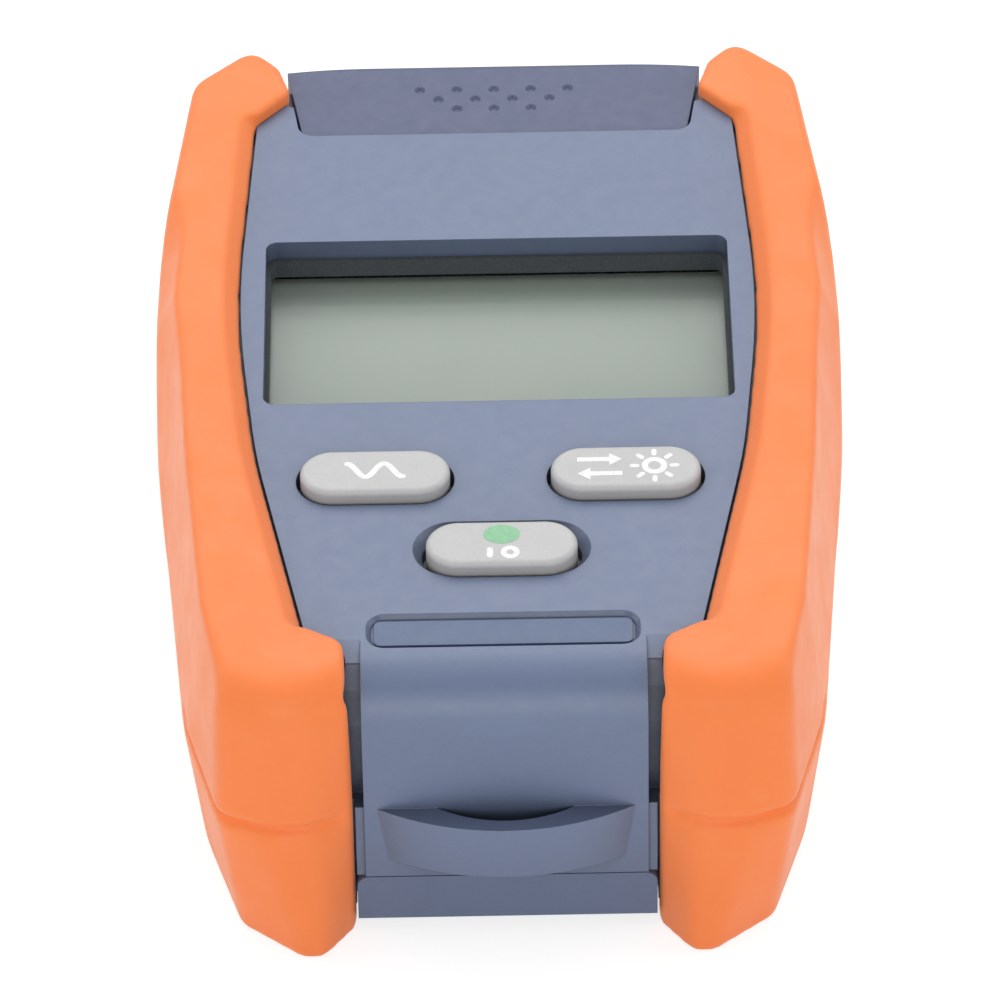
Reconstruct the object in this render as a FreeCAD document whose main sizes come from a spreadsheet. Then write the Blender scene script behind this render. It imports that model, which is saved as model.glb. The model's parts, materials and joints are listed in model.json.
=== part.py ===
"""Hand-held optical power meter: two-shell case, rubber boot, dust cover, keys, display, cells.

Millimetres. The meter lies on its back: +Z leaves the display, +Y is the optical port end and
-Y the lanyard end. The origin is under the middle of the whole meter, on the surface it lies on.
"""
import FreeCAD, Part
import math
import os
import types

import Sketcher
from FreeCAD import Vector

SIZES = [
    # name, value (mm, or degrees where the name says so), what it sizes
    ("boot_mid", 18.5, "height of the boot's widest line and its groove"),
    ("boot_floor", 2.0, "boot thickness under the case"),
    ("boot_reach_far", 61.2, "horn tip, from the middle of the meter"),
    ("boot_reach_near", 61.0, "near corner tip, from the middle of the meter"),
    ("boot_half_width", 41.3, "half width at the bulge"),
    ("boot_top_lean", 0.7, "how far the upper side leans in"),
    ("boot_base_lean", 2.1, "how far the lower side leans in"),
    ("bulge_y", 17.0, "where the sides are widest"),
    ("waist_in", 20.0, "where the sides turn in to the near corners, from the near tips"),
    ("waist_taper", 5.0, "how much narrower the sides are there"),
    ("horn_inner", 26.2, "inner end of the horns' slanted side"),
    ("horn_tip_x", 30.0, "horn tips, from the middle"),
    ("horn_corner_x", 37.2, "outer corners of the horns"),
    ("horn_corner_in", 5.8, "outer corners of the horns behind their tips"),
    ("near_corner_x", 32.7, "outer corners of the near blocks at the groove"),
    ("near_corner_in", 2.2, "how far those corners move in at the base"),
    ("near_tip_in", 2.4, "how far the tips move in at the base"),
    ("near_tip_x", 24.3, "tips of the near blocks"),
    ("near_tip_over", 1.26, "how far the tips' corner lies beyond its rounding"),
    ("near_lean", 1.8, "how far the near ends lean out below the groove"),
    ("top_near_lean", 1.9, "how far they lean in above it"),
    ("base_corner_drop", 5.6, "near corner behind the tip at the base"),
    ("mid_corner_drop", 2.2, "near corner behind the tip at the groove"),
    ("base_slot_drop", 4.9, "inner corner behind the tip at the base"),
    ("mid_slot_drop", 2.8, "inner corner behind the tip at the groove"),
    ("near_roll", 4.5, "radius where the top rolls over to the near end"),
    ("side_roll", 0.8, "how far the outer top edge is drawn in over that height"),
    ("boot_wall", 3.7, "boot thickness beside the case"),
    ("boot_slot_half", 17.3, "half width between the near blocks"),
    ("opening_in", 15.8, "near end of the face opening, from the near tips"),
    ("boot_chamfer", 2.0, "width of the bevel round the face opening"),
    ("boot_corner_round", 3.0, "rounding of the standing corners"),
    ("groove_depth", 1.0, "depth of the line round the near blocks"),
    ("groove_width", 1.1, "width of that line"),
    ("bridge_near", 14.0, "near edge of the boot's back strap"),
    ("bridge_in", 11.2, "far edge of the boot's back strap, from the horn tips"),
    ("scallop_y", 33.5, "where the side grip starts"),
    ("grip_bevel", 1.8, "width of the grip bevel along the waist"),
    ("fit_gap", 0.1, "gap between pieces that are fitted once"),
    ("slide_gap", 0.15, "gap between pieces that slide"),
    ("case_wall", 2.0, "shell side wall"),
    ("face_wall", 2.6, "shell wall behind the face"),
    ("shoulder_drop", 1.3, "how far the shell's shoulder lies under the face"),
    ("face_drop", 1.7, "how far the face lies under the boot top"),
    ("parting_height", 8.6, "seam between the front and rear shells"),
    ("far_cover", 3.2, "how far the horns reach past the shells"),
    ("near_cover", 7.0, "how far the near blocks reach past the shells"),
    ("tongue_half", 16.1, "half width of the tongue over the near end"),
    ("tongue_shoulder", 17.1, "half width of the tongue below the lanyard bar"),
    ("tongue_proud", 1.3, "how far the tongue stands out at the bar"),
    ("tongue_slot", 1.2, "depth of the channel beside the tongue"),
    ("tongue_root", -40.0, "where the tongue starts in the face"),
    ("tongue_bend", 7.0, "radius where the face bends into the tongue"),
    ("bar_base", 11.1, "underside of the lanyard bar"),
    ("bar_top", 18.3, "top of the lanyard bar"),
    ("bar_in", 1.4, "how far the bar's front lies behind the near tips"),
    ("bar_depth", 1.7, "thickness of the bar in the middle"),
    ("bar_slot_half", 8.3, "half width of the cord slot"),
    ("window_half", 27.6, "half width of the display window"),
    ("window_length", 30.1, "display window along Y"),
    ("window_y", 10.2, "middle of the display window"),
    ("window_round", 1.4, "display window corners"),
    ("gasket_height", 2.4, "thickness of the black gasket"),
    ("gasket_rim", 1.3, "gasket and lens outside the window"),
    ("gasket_lip", 0.5, "gasket showing inside the window"),
    ("lens_height", 0.9, "display lens thickness"),
    ("lens_air", 0.3, "air between the lens and the LCD"),
    ("lcd_height", 2.1, "LCD cell thickness"),
    ("light_height", 2.4, "backlight thickness"),
    ("strip_width", 2.4, "width of a contact strip"),
    ("key_length", 17.3, "key length along X"),
    ("key_width", 7.5, "key width along Y"),
    ("key_proud", 1.6, "key top above the face"),
    ("key_gap", 0.5, "gap round a key"),
    ("key_rim", 1.2, "key flange inside the shell"),
    ("key_flange", 1.2, "flange thickness"),
    ("key_edge", 0.7, "key top rounding"),
    ("key_travel", 0.7, "how far a key goes down"),
    ("key_stem", 2.0, "radius of the stem under a key"),
    ("key_side_x", 14.45, "outer keys, from the middle"),
    ("key_side_y", -18.8, "row of the outer keys"),
    ("key_power_y", -31.6, "middle key"),
    ("dish_half", 10.2, "half length of the dish round the middle key"),
    ("dish_width", 9.4, "dish along Y"),
    ("dish_depth", 1.2, "dish depth"),
    ("dish_y", -30.9, "middle of the dish"),
    ("name_half", 15.5, "half length of the name recess"),
    ("name_width", 5.7, "name recess along Y"),
    ("name_in", 16.3, "middle of the name recess, from the near tips"),
    ("name_depth", 0.7, "depth of the name recess"),
    ("name_inlay", 0.3, "thickness of the blank inlay"),
    ("board_height", 1.6, "circuit board thickness"),
    ("board_room", 2.8, "room between the battery bay and the board"),
    ("board_gap", 1.0, "circuit board to the far screw bosses"),
    ("board_near", -43.0, "near edge of the board"),
    ("board_clear", 2.0, "circuit board to the bulkhead"),
    ("switch_size", 6.0, "key switch, each side"),
    ("switch_height", 2.4, "key switch body"),
    ("plunger", 1.6, "radius of the switch plunger"),
    ("cell_radius", 7.25, "AA cell radius"),
    ("cell_length", 49.2, "AA cell without its nub"),
    ("cell_nub", 1.3, "length of the positive nub"),
    ("cell_pitch", 15.0, "between the two cells"),
    ("bay_in", 3.4, "battery bay, from the near end of the shells"),
    ("bay_length", 57.2, "battery bay along Y"),
    ("bay_wall", 1.4, "battery bay wall"),
    ("bay_slack", 0.45, "room round the cells"),
    ("contact", 0.5, "contact plate thickness"),
    ("contact_width", 10.0, "width of a cell's contact plate"),
    ("spring_wire", 0.7, "spring wire"),
    ("spring_radius", 3.4, "widest coil of a contact spring"),
    ("spring_taper", 1.2, "how much narrower its last coil is"),
    ("door_half", 16.2, "battery door half width behind its flange"),
    ("door_height", 1.6, "battery door thickness"),
    ("door_over", 1.6, "how far the battery door covers the bay's far wall"),
    ("door_rail", 0.6, "how far the door's rails stand out"),
    ("door_rail_height", 0.6, "thickness of the rails and the latch tab"),
    ("door_tab", 2.4, "length of the door's latch tab"),
    ("door_tab_half", 6.0, "half width of the latch tab"),
    ("door_flange", 1.5, "thickness of the door's end flange"),
    ("recess_half", 20.0, "half width of the port recess"),
    ("recess_depth", 12.0, "depth of the port recess, from the far end of the shells"),
    ("port_height", 20.0, "optical axis above the table"),
    ("port_flange", 8.5, "radius of the port's mounting flange"),
    ("port_flange_height", 1.4, "thickness of that flange"),
    ("port_barrel", 4.6, "radius of the port barrel"),
    ("port_reach", 5.0, "barrel outside its flange"),
    ("cap_radius", 6.4, "adapter cap radius"),
    ("cap_length", 8.0, "adapter cap length"),
    ("ferrule_bore", 2.5, "bore of the alignment sleeve"),
    ("sleeve_radius", 2.1, "outside radius of the sleeve"),
    ("run_gap", 0.05, "running gap of turned pieces, on the radius"),
    ("detector_radius", 2.7, "detector can"),
    ("detector_length", 3.6, "detector can length"),
    ("cover_margin", 0.2, "near edge of the dust cover past the bulkhead"),
    ("cover_near_half", 23.4, "its half width there"),
    ("cover_far_half", 25.7, "its half width at the far end"),
    ("cover_wall", 2.8, "dust cover thickness at the middle of its far side"),
    ("cover_plate", 2.0, "dust cover thickness over the recess"),
    ("cover_bow", 1.6, "how far its far side bows out"),
    ("cover_drop", 0.6, "how far the cover lies under the face"),
    ("cover_slope", 0.3, "how far its far edge is lower still"),
    ("cover_gap", 0.35, "gap round the dust cover"),
    ("cover_edge", 1.4, "rounding over the cover's far edge"),
    ("seal_radius", 5.0, "dust seal pad"),
    ("dimple", 0.75, "radius of a grip dimple"),
    ("dimple_pitch", 4.55, "between dimples of one row"),
    ("dimple_row", 1.95, "between the rows"),
    ("dimple_in", 5.6, "the far row, from the horn tips"),
    ("hinge_out", 0.6, "dust cover axis past the far end of the shells"),
    ("hinge_height", 4.5, "dust cover axis above the table"),
    ("hinge_radius", 2.3, "hinge knuckle radius"),
    ("hinge_half", 12.0, "half width of the cover's knuckle"),
    ("ear_width", 4.0, "width of a hinge ear"),
    ("pin_radius", 0.8, "hinge pin"),
    ("boss_radius", 3.0, "case screw boss"),
    ("boss_in", 9.6, "far case screws inside the case's widest line"),
    ("boss_in_near", 0.6, "how much further in the near ones are"),
    ("boss_in_far", 8.0, "far case screws, from the bulkhead"),
    ("boss_y_near", -40.0, "near case screws"),
    ("post_radius", 2.3, "board post"),
    ("post_in", 8.0, "board posts, from the far case screws"),
    ("post_in_far", 5.0, "far board posts, from the far edge of the board"),
    ("post_y_near", -39.0, "near board posts"),
    ("screw_radius", 1.2, "screw shank"),
    ("screw_head", 2.2, "screw head radius"),
    ("screw_head_height", 1.3, "screw head"),
    ("screw_sink", 0.4, "how far the case screws' heads lie in the rear shell"),
    ("screw_cross", 1.3, "half length of the cross recess in a screw head"),
    ("screw_length", 12.0, "case screw shank"),
    ("post_screw_length", 5.0, "board screw shank"),
]

doc = FreeCAD.newDocument("optical_power_meter")
sheet = doc.addObject("Spreadsheet::Sheet", "dims")
for row, (alias, value, note) in enumerate(SIZES, start=1):
    sheet.set(f"A{row}", alias)
    sheet.set(f"B{row}", str(value))
    sheet.set(f"C{row}", note)
    sheet.setAlias(f"B{row}", alias)
doc.recompute()
s = types.SimpleNamespace(**{alias: float(sheet.get(alias)) for alias, _, _ in SIZES})

nodes = []

# Heights that follow from the sizes above, from the battery door up to the top of the boot.
door_top = s.boot_floor + s.door_height
cell_z = door_top + s.bay_slack + s.cell_radius
bay_top = cell_z + s.cell_radius + s.bay_slack
board_z = bay_top + s.bay_wall + s.board_room
board_top = board_z + s.board_height
ceiling_z = (board_top + s.light_height + s.lcd_height + s.lens_air + s.lens_height
             + s.gasket_height)
face_z = ceiling_z + s.face_wall
shoulder_z = face_z - s.shoulder_drop
boot_top = face_z + s.face_drop
cover_seat_z = face_z - s.cover_drop - s.cover_slope - s.cover_plate

# Lengths along the meter that follow from the near tips and the horn tips.
case_near = s.boot_reach_near - s.near_cover
case_far = s.boot_reach_far - s.far_cover
waist_y = s.waist_in - s.boot_reach_near
name_y = s.name_in - s.boot_reach_near
bar_reach = s.boot_reach_near - s.bar_in
bay_near = s.bay_in - case_near
bay_far = bay_near + s.bay_length
door_far = bay_far + s.door_over
hinge_y = case_far + s.hinge_out
recess_floor_y = case_far - s.recess_depth
cover_near = recess_floor_y + s.cover_margin
horn_corner_y = s.boot_reach_far - s.horn_corner_in
dimple_far = s.boot_reach_far - s.dimple_in
bridge_far = s.boot_reach_far - s.bridge_in
board_far = recess_floor_y - s.case_wall - s.board_clear
post_y_far = board_far - s.post_in_far
boss_y_far = recess_floor_y - s.boss_in_far

# Widths that follow from the boot's.
case_half = s.boot_half_width - s.boot_wall
boss_x = case_half - s.boss_in
post_x = boss_x - s.post_in
bay_half = s.cell_pitch / 2 + s.cell_radius + s.bay_slack
spring_room = s.bay_length - 2 * s.contact - s.cell_length - s.cell_nub - s.fit_gap
KEYS = {
    "key_left": (-s.key_side_x, s.key_side_y),
    "key_right": (s.key_side_x, s.key_side_y),
    "key_power": (0.0, s.key_power_y),
}
KEY_CELLS = {
    "key_left": ("-dims.key_side_x", "dims.key_side_y"),
    "key_right": ("dims.key_side_x", "dims.key_side_y"),
    "key_power": ("0", "dims.key_power_y"),
}

# The same heights as expressions on the sheet.
BAY_TOP = "(dims.boot_floor + dims.door_height + 2 * dims.bay_slack + 2 * dims.cell_radius)"
BOARD_BACK = f"({BAY_TOP} + dims.bay_wall + dims.board_room)"
BOARD_TOP = f"({BOARD_BACK} + dims.board_height)"
LCD = f"({BOARD_TOP} + dims.light_height)"
LENS = f"({LCD} + dims.lcd_height + dims.lens_air)"
GASKET = f"({LENS} + dims.lens_height)"
CEILING = f"({GASKET} + dims.gasket_height)"
FACE = f"({CEILING} + dims.face_wall)"
SWITCH_TOP = "(dims.switch_height + 0.5)"
WINDOW_NEAR = "(dims.window_y - dims.window_length / 2)"
WINDOW_FAR = "(dims.window_y + dims.window_length / 2)"
CASE_FAR = "(dims.boot_reach_far - dims.far_cover)"
RECESS_FLOOR = f"({CASE_FAR} - dims.recess_depth)"
HINGE_Y = f"({CASE_FAR} + dims.hinge_out)"
BOARD_FAR = f"({RECESS_FLOOR} - dims.case_wall - dims.board_clear)"
NAME_Y = "(dims.name_in - dims.boot_reach_near)"
BAY_NEAR = "(dims.bay_in + dims.near_cover - dims.boot_reach_near)"
BAY_FAR = f"({BAY_NEAR} + dims.bay_length)"
DOOR_FAR = f"({BAY_FAR} + dims.door_over)"
DOOR_NEAR = "(dims.near_cover - dims.boot_reach_near - dims.tongue_proud - 1.2)"
SEAL_BACK = f"({CASE_FAR} + dims.cover_gap - dims.fit_gap / 2)"
SLEEVE_END = f"({RECESS_FLOOR} + dims.port_flange_height + dims.fit_gap + dims.cap_length + 1)"
SEAL_FRONT = f"({SLEEVE_END} + dims.fit_gap)"
BOSS_X = "(dims.boot_half_width - dims.boot_wall - dims.boss_in)"
POST_X = f"({BOSS_X} - dims.post_in)"
BOARD_HALF = f"({BOSS_X} - dims.boss_radius - dims.board_gap)"

SPRING_TURNS = 3
SPRING_SPANS = 12
CAP_FLUTES = 14

OUT = 80.0   # from the middle of the meter to well outside it, for solids that only cut
HAIR = 0.001

CASE_SCREWS = [(side * x, y) for side in (-1, 1)
               for x, y in ((boss_x, boss_y_far), (boss_x - s.boss_in_near, s.boss_y_near))]
BOARD_SCREWS = [(side * post_x, y) for side in (-1, 1) for y in (post_y_far, s.post_y_near)]


# ---------------------------------------------------------------- shapes made with Part

def rounded_wire(corners, z=0.0):
    """Closed wire through (x, y, radius) corners, with an arc at each radius."""
    edges = []
    ends = []
    count = len(corners)
    for i, (x, y, radius) in enumerate(corners):
        here = Vector(x, y, z)
        back = Vector(corners[i - 1][0], corners[i - 1][1], z) - here
        ahead = Vector(corners[(i + 1) % count][0], corners[(i + 1) % count][1], z) - here
        back.normalize()
        ahead.normalize()
        half = back.getAngle(ahead) / 2
        if radius <= 0 or half > math.pi / 2 - 1e-6:
            ends.append((here, here))
            continue
        reach = radius / math.tan(half)
        bisector = back + ahead
        bisector.normalize()
        centre = here + bisector * (radius / math.sin(half))
        middle = centre - bisector * radius
        first = here + back * reach
        last = here + ahead * reach
        edges.append((i, Part.Arc(first, middle, last).toShape()))
        ends.append((first, last))
    arcs = dict(edges)
    chain = []
    for i in range(count):
        if i in arcs:
            chain.append(arcs[i])
        start = ends[i][1]
        stop = ends[(i + 1) % count][0]
        if (stop - start).Length > 1e-6:
            chain.append(Part.LineSegment(start, stop).toShape())
    return Part.Wire(Part.__sortEdges__(chain))


def mirrored(half):
    """Full outline from the corners of its right half, listed from far to near."""
    return half + [(-x, y, radius) for x, y, radius in reversed(half)]


def prism(corners, low, high, grow=0.0):
    """Upright solid between two heights on an outline, grown outwards by grow."""
    wire = rounded_wire(corners, low)
    if grow:
        wire = wire.makeOffset2D(grow)
    return Part.Face(wire).extrude(Vector(0, 0, high - low))


def tapered(low_corners, low, high_corners, high):
    """Solid with straight sides from one outline up to another with as many corners."""
    wires = [rounded_wire(low_corners, low), rounded_wire(high_corners, high)]
    return Part.makeLoft(wires, True, True)


def block(x0, x1, y0, y1, z0, z1):
    return Part.makeBox(x1 - x0, y1 - y0, z1 - z0, Vector(x0, y0, z0))


def rod(radius, start, axis, length):
    return Part.makeCylinder(radius, length, Vector(*start), Vector(*axis))


def box_outline(half_x, y0, y1, radius):
    return [(half_x, y1, radius), (half_x, y0, radius), (-half_x, y0, radius), (-half_x, y1, radius)]


def stadium(x, y, length, width):
    """Outline with two round ends, its radius a hair under half the width."""
    radius = width / 2 - HAIR
    dx = length / 2
    dy = width / 2
    return [(x + dx, y + dy, radius), (x + dx, y - dy, radius),
            (x - dx, y - dy, radius), (x - dx, y + dy, radius)]


def side_extrusion(points, half_x):
    """Solid with a (y, z, radius) profile, from -half_x to half_x."""
    wire = rounded_wire(points)
    turn = FreeCAD.Matrix(0, 0, 1, -half_x, 1, 0, 0, 0, 0, 1, 0, 0, 0, 0, 0, 1)
    return Part.Face(wire.transformGeometry(turn)).extrude(Vector(2 * half_x, 0, 0))


def revolved(points, centre, axis):
    """Solid of revolution of (radius, distance along the axis) points."""
    path = [Vector(r, 0, along) for r, along in points]
    face = Part.Face(Part.makePolygon(path + path[:1]))
    solid = face.revolve(Vector(0, 0, 0), Vector(0, 0, 1), 360)
    solid.Placement = FreeCAD.Placement(Vector(*centre), FreeCAD.Rotation(Vector(0, 0, 1), Vector(*axis)))
    return solid


def add_feature(label, shape):
    """Keep a shape as one node of the document."""
    feature = doc.addObject("Part::Feature", label)
    feature.Label = label
    feature.Shape = shape
    feature.Placement = shape.Placement
    nodes.append(feature)
    return feature


# ---------------------------------------------------------------- shared outlines

def case_outline():
    """Plan of both shells: straight sides that meet in a gentle bulge."""
    return mirrored([
        (case_half - 5.3, case_far, 5.0),
        (case_half + 0.6, case_far - 34.0, 170.0),
        (case_half - 4.9, case_near * -0.74, 25.0),
        (case_half - 9.0, -case_near, 4.0),
    ])


def face_opening():
    """Right half of the boot's opening, from the port end to the lanyard end."""
    horn = s.boot_reach_far
    near = s.opening_in - s.boot_reach_near
    return [
        (s.horn_inner, horn + 2, 0),
        (s.horn_inner, horn - 4.1, 0.8),
        (s.cover_far_half - 0.8, horn - 8.4, 0.4),
        (29.1, horn - 13.2, 0.8),
        (31.0, 12.5, 150.0),
        (28.4, -14.0, 100.0),
        (22.4, near, 1.5),
        (s.boot_slot_half + 0.7, near - 2.5, 2.2),
        (s.boot_slot_half, -s.boot_reach_near - 2, 0),
    ]


def between(low, high, share):
    return low + (high - low) * share


def boot_plan(height):
    """Right half of the boot's plan at a height: it is widest at the groove and leans in from there."""
    below = max(0.0, 1 - height / s.boot_mid)
    above = max(0.0, (height - s.boot_mid) / (boot_top - s.boot_mid))
    rise = max(0.0, height - (boot_top - s.near_roll))
    roll = s.near_roll - math.sqrt(s.near_roll ** 2 - rise ** 2)
    edge = s.side_roll * roll / s.near_roll
    wide = s.boot_half_width + 0.7 - s.boot_base_lean * below - s.boot_top_lean * above - edge
    near = -(s.boot_reach_near - s.near_lean * (1 - below) - s.top_near_lean * above - roll)
    tip_x = s.near_tip_x - s.near_tip_in * below
    corner_x = s.near_corner_x - s.near_corner_in * below - s.boot_top_lean * above - edge
    return [
        (s.cover_near_half, s.boot_reach_far - 7.0, 0),
        (s.horn_tip_x - edge / 2, s.boot_reach_far + 0.9 - edge, 2.0),
        (s.horn_corner_x - edge, horn_corner_y - edge, 4.0),
        (wide, s.bulge_y, 170.0),
        (wide - s.waist_taper, waist_y, 25.0),
        (corner_x, near + between(s.mid_corner_drop, s.base_corner_drop, below), s.boot_corner_round),
        (tip_x, near - s.near_tip_over, between(9.0, 2.5, below)),
        (s.boot_slot_half, near + between(s.mid_slot_drop, s.base_slot_drop, below), 1.2),
        (s.boot_slot_half, bridge_far - 1.0, 0),
        (s.cover_near_half, bridge_far, 0),
    ]


# ---------------------------------------------------------------- boot

def side_x(y, lean_x):
    """Where the boot's long side is at y, without its rounding."""
    wide = s.boot_half_width + 0.4 - lean_x
    if y > s.bulge_y:
        return wide - (y - s.bulge_y) * (wide - s.horn_corner_x) / (horn_corner_y - s.bulge_y)
    return wide - (s.bulge_y - y) * s.waist_taper / (s.bulge_y - waist_y)


def grip_cutter():
    """Bevel along the upper outside edge: it starts at the scallop and deepens to the near end."""
    full = boot_top - s.boot_mid
    stations = [
        # y, inset of the bevel's upper edge, share of the upper side that it takes
        (s.scallop_y, 0.6, 0.05),
        (s.scallop_y - 2.0, 1.6, 0.08),
        (s.scallop_y - 7.0, 1.4 * s.grip_bevel, 0.18),
        (14.0, 1.4 * s.grip_bevel, 0.40),
        (2.0, 1.3 * s.grip_bevel, 0.72),
        (-14.0, s.grip_bevel, 1.0),
        (waist_y, s.grip_bevel, 1.0),
        (-s.boot_reach_near - 2, 2.3 * s.grip_bevel, 1.0),
    ]
    wires = []
    for y, inset, share in stations:
        depth = share * full
        edge = side_x(y, s.boot_top_lean) - inset
        foot = side_x(y, s.boot_top_lean * (1 - share))
        slope = (foot - edge) / depth
        corners = [Vector(edge - slope, y, boot_top + 1), Vector(foot + 6, y, boot_top + 1),
                   Vector(foot + 6, y, boot_top - depth - 1), Vector(foot + slope, y, boot_top - depth - 1)]
        wires.append(Part.makePolygon(corners + corners[:1]))
    return Part.makeLoft(wires, True, True)


def boot_groove():
    """Shallow line round a near block that starts from nothing at the side."""
    low = s.boot_mid - s.groove_width / 2
    high = s.boot_mid + s.groove_width / 2
    start = waist_y + 3.0
    plan = boot_plan(s.boot_mid)
    corner, tip, inner = plan[5:8]
    inside = s.boot_slot_half + 1.0
    kept = [
        (side_x(start, 0) - 0.3, start, 0),
        (corner[0] - s.groove_depth, corner[1] + s.groove_depth, s.boot_corner_round),
        (tip[0], tip[1] + s.groove_depth, tip[2]),
        (inside, inner[1] + 0.2 * s.groove_depth, 0),
        (inside, start, 0),
    ]
    beyond = tip[1] - 4
    ring = prism([(s.boot_half_width + 2, start, 0), (s.boot_half_width + 2, beyond, 0), (inside, beyond, 0),
                  (inside, start, 0)], low, high)
    return ring.cut(prism(kept, low - 1, high + 1))


def boot_half():
    rolls = [math.sin(math.radians(angle)) for angle in (0, 25, 48, 68, 90)]
    heights = [0.0, s.boot_mid] + [boot_top - s.near_roll * (1 - rise) for rise in rolls]
    wires = [rounded_wire(boot_plan(height), height) for height in heights]
    solid = Part.makeLoft(wires, True, True)
    solid = solid.cut(grip_cutter())
    return solid.cut(boot_groove())


def make_boot():
    half = boot_half()
    strap = block(-s.boot_slot_half - 1, s.boot_slot_half + 1, s.bridge_near, bridge_far, 0, s.boot_floor)
    boot = half.fuse([half.mirror(Vector(0, 0, 0), Vector(1, 0, 0)), strap])
    boot = boot.cut(prism(case_outline(), s.boot_floor, shoulder_z + s.fit_gap, s.fit_gap))
    opening = face_opening()
    boot = boot.cut(prism(mirrored(opening), shoulder_z - 1, boot_top + 1))
    side = opening[3:7]
    bevel = [(x + s.boot_chamfer, y, radius) for x, y, radius in side]
    low = [(x - 0.2, y, radius) for x, y, radius in side]
    boot = boot.cut(tapered(mirrored(low), boot_top - s.boot_chamfer - 0.2,
                            mirrored(bevel), boot_top + 0.01))
    return boot.removeSplitter()


# ---------------------------------------------------------------- front shell

def tongue_profile(back):
    """Side view (y, z) of the near end, set back from the tongue's skin by back."""
    front = case_near + s.tongue_proud - back
    foot = case_near + s.tongue_proud + 1.2 - back
    top = face_z - back
    return [
        (s.tongue_root, s.parting_height, 0),
        (-foot, s.parting_height, 0),
        (-front, s.bar_top + 4, 60.0),
        (-front + 0.5, top, s.tongue_bend),
        (s.tongue_root, top, 0),
    ]


def bow(half, foot, reach):
    """Plan of a bow towards the lanyard end: an arc on a straight chord across the meter."""
    left = Vector(-half, foot, s.bar_base)
    right = Vector(half, foot, s.bar_base)
    arc = Part.Arc(left, Vector(0, reach, s.bar_base), right)
    chord = Part.LineSegment(right, left)
    return Part.Face(Part.Wire([arc.toShape(), chord.toShape()]))


def lanyard_bar():
    """Arched bar moulded across the tongue, with a slot for the cord behind its middle."""
    wall = -case_near - s.tongue_proud
    rise = Vector(0, 0, s.bar_top - s.bar_base)
    root = s.tongue_half - 0.9
    bar = bow(root, wall, -bar_reach).extrude(rise)
    inside = block(-root, root, wall, wall + 1.5, s.bar_base, s.bar_top)
    slot = bow(s.bar_slot_half, wall, -bar_reach + s.bar_depth).extrude(rise)
    return bar.fuse(inside).cut(slot)


def key_openings():
    holes = []
    for x, y in KEYS.values():
        hole = stadium(x, y, s.key_length + 2 * s.key_gap, s.key_width + 2 * s.key_gap)
        holes.append(prism(hole, ceiling_z - 1, face_z + 1))
    return holes


def face_recesses():
    """Dish round the middle key and the shallow recess for the blank inlay."""
    dish_floor = stadium(0, s.dish_y - 0.2, 2 * s.dish_half - 3.0, s.dish_width - 1.2)
    dish_rim = stadium(0, s.dish_y, 2 * s.dish_half, s.dish_width)
    dish = tapered(dish_floor, face_z - s.dish_depth, dish_rim, face_z + HAIR)
    half = s.name_width / 2
    low = box_outline(s.name_half - 0.6, name_y - half + 0.4, name_y + half - 0.4, 1.8)
    high = box_outline(s.name_half, name_y - half, name_y + half, 2.2)
    return [dish, tapered(low, face_z - s.name_depth, high, face_z + HAIR)]


def cover_half(y):
    """Half width of the dust cover at y."""
    share = (y - cover_near) / (s.boot_reach_far - cover_near)
    return between(s.cover_near_half, s.cover_far_half, share)


def cover_pocket():
    """Room for the dust cover: a ledge in the face, wider behind the horns, and the port recess."""
    near = cover_near - s.cover_gap
    far = case_far + 1
    horns = s.boot_reach_far - 9.7
    plan = mirrored([
        (s.cover_far_half + 2, far, 0),
        (s.cover_far_half + 2, horns + 1.5, 0),
        (cover_half(horns) + s.cover_gap, horns, 0),
        (s.cover_near_half + s.cover_gap, near, 2.0),
    ])
    ledge = prism(plan, cover_seat_z, face_z + 1)
    recess = block(-s.recess_half, s.recess_half, recess_floor_y, far, s.parting_height - 1, face_z + 1)
    return [ledge, recess]


def tongue_channels():
    """Narrow channels that set the tongue off from the case on both sides."""
    wall = -case_near
    floor = wall + s.tongue_slot
    profile = [
        (wall - 8, s.bar_top, 0), (floor, s.bar_top, 0), (floor, face_z - s.tongue_bend, 0),
        (floor + 1.6, face_z - 3.0, 0), (floor + 3.4, face_z - 0.8, 0), (floor + 3.6, face_z + 1, 0),
        (wall - 8, face_z + 1, 0),
    ]
    across = side_extrusion(profile, s.boot_slot_half + 0.9)
    return across.cut(block(-s.tongue_half, s.tongue_half, -OUT, 0, 0, OUT))


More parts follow.
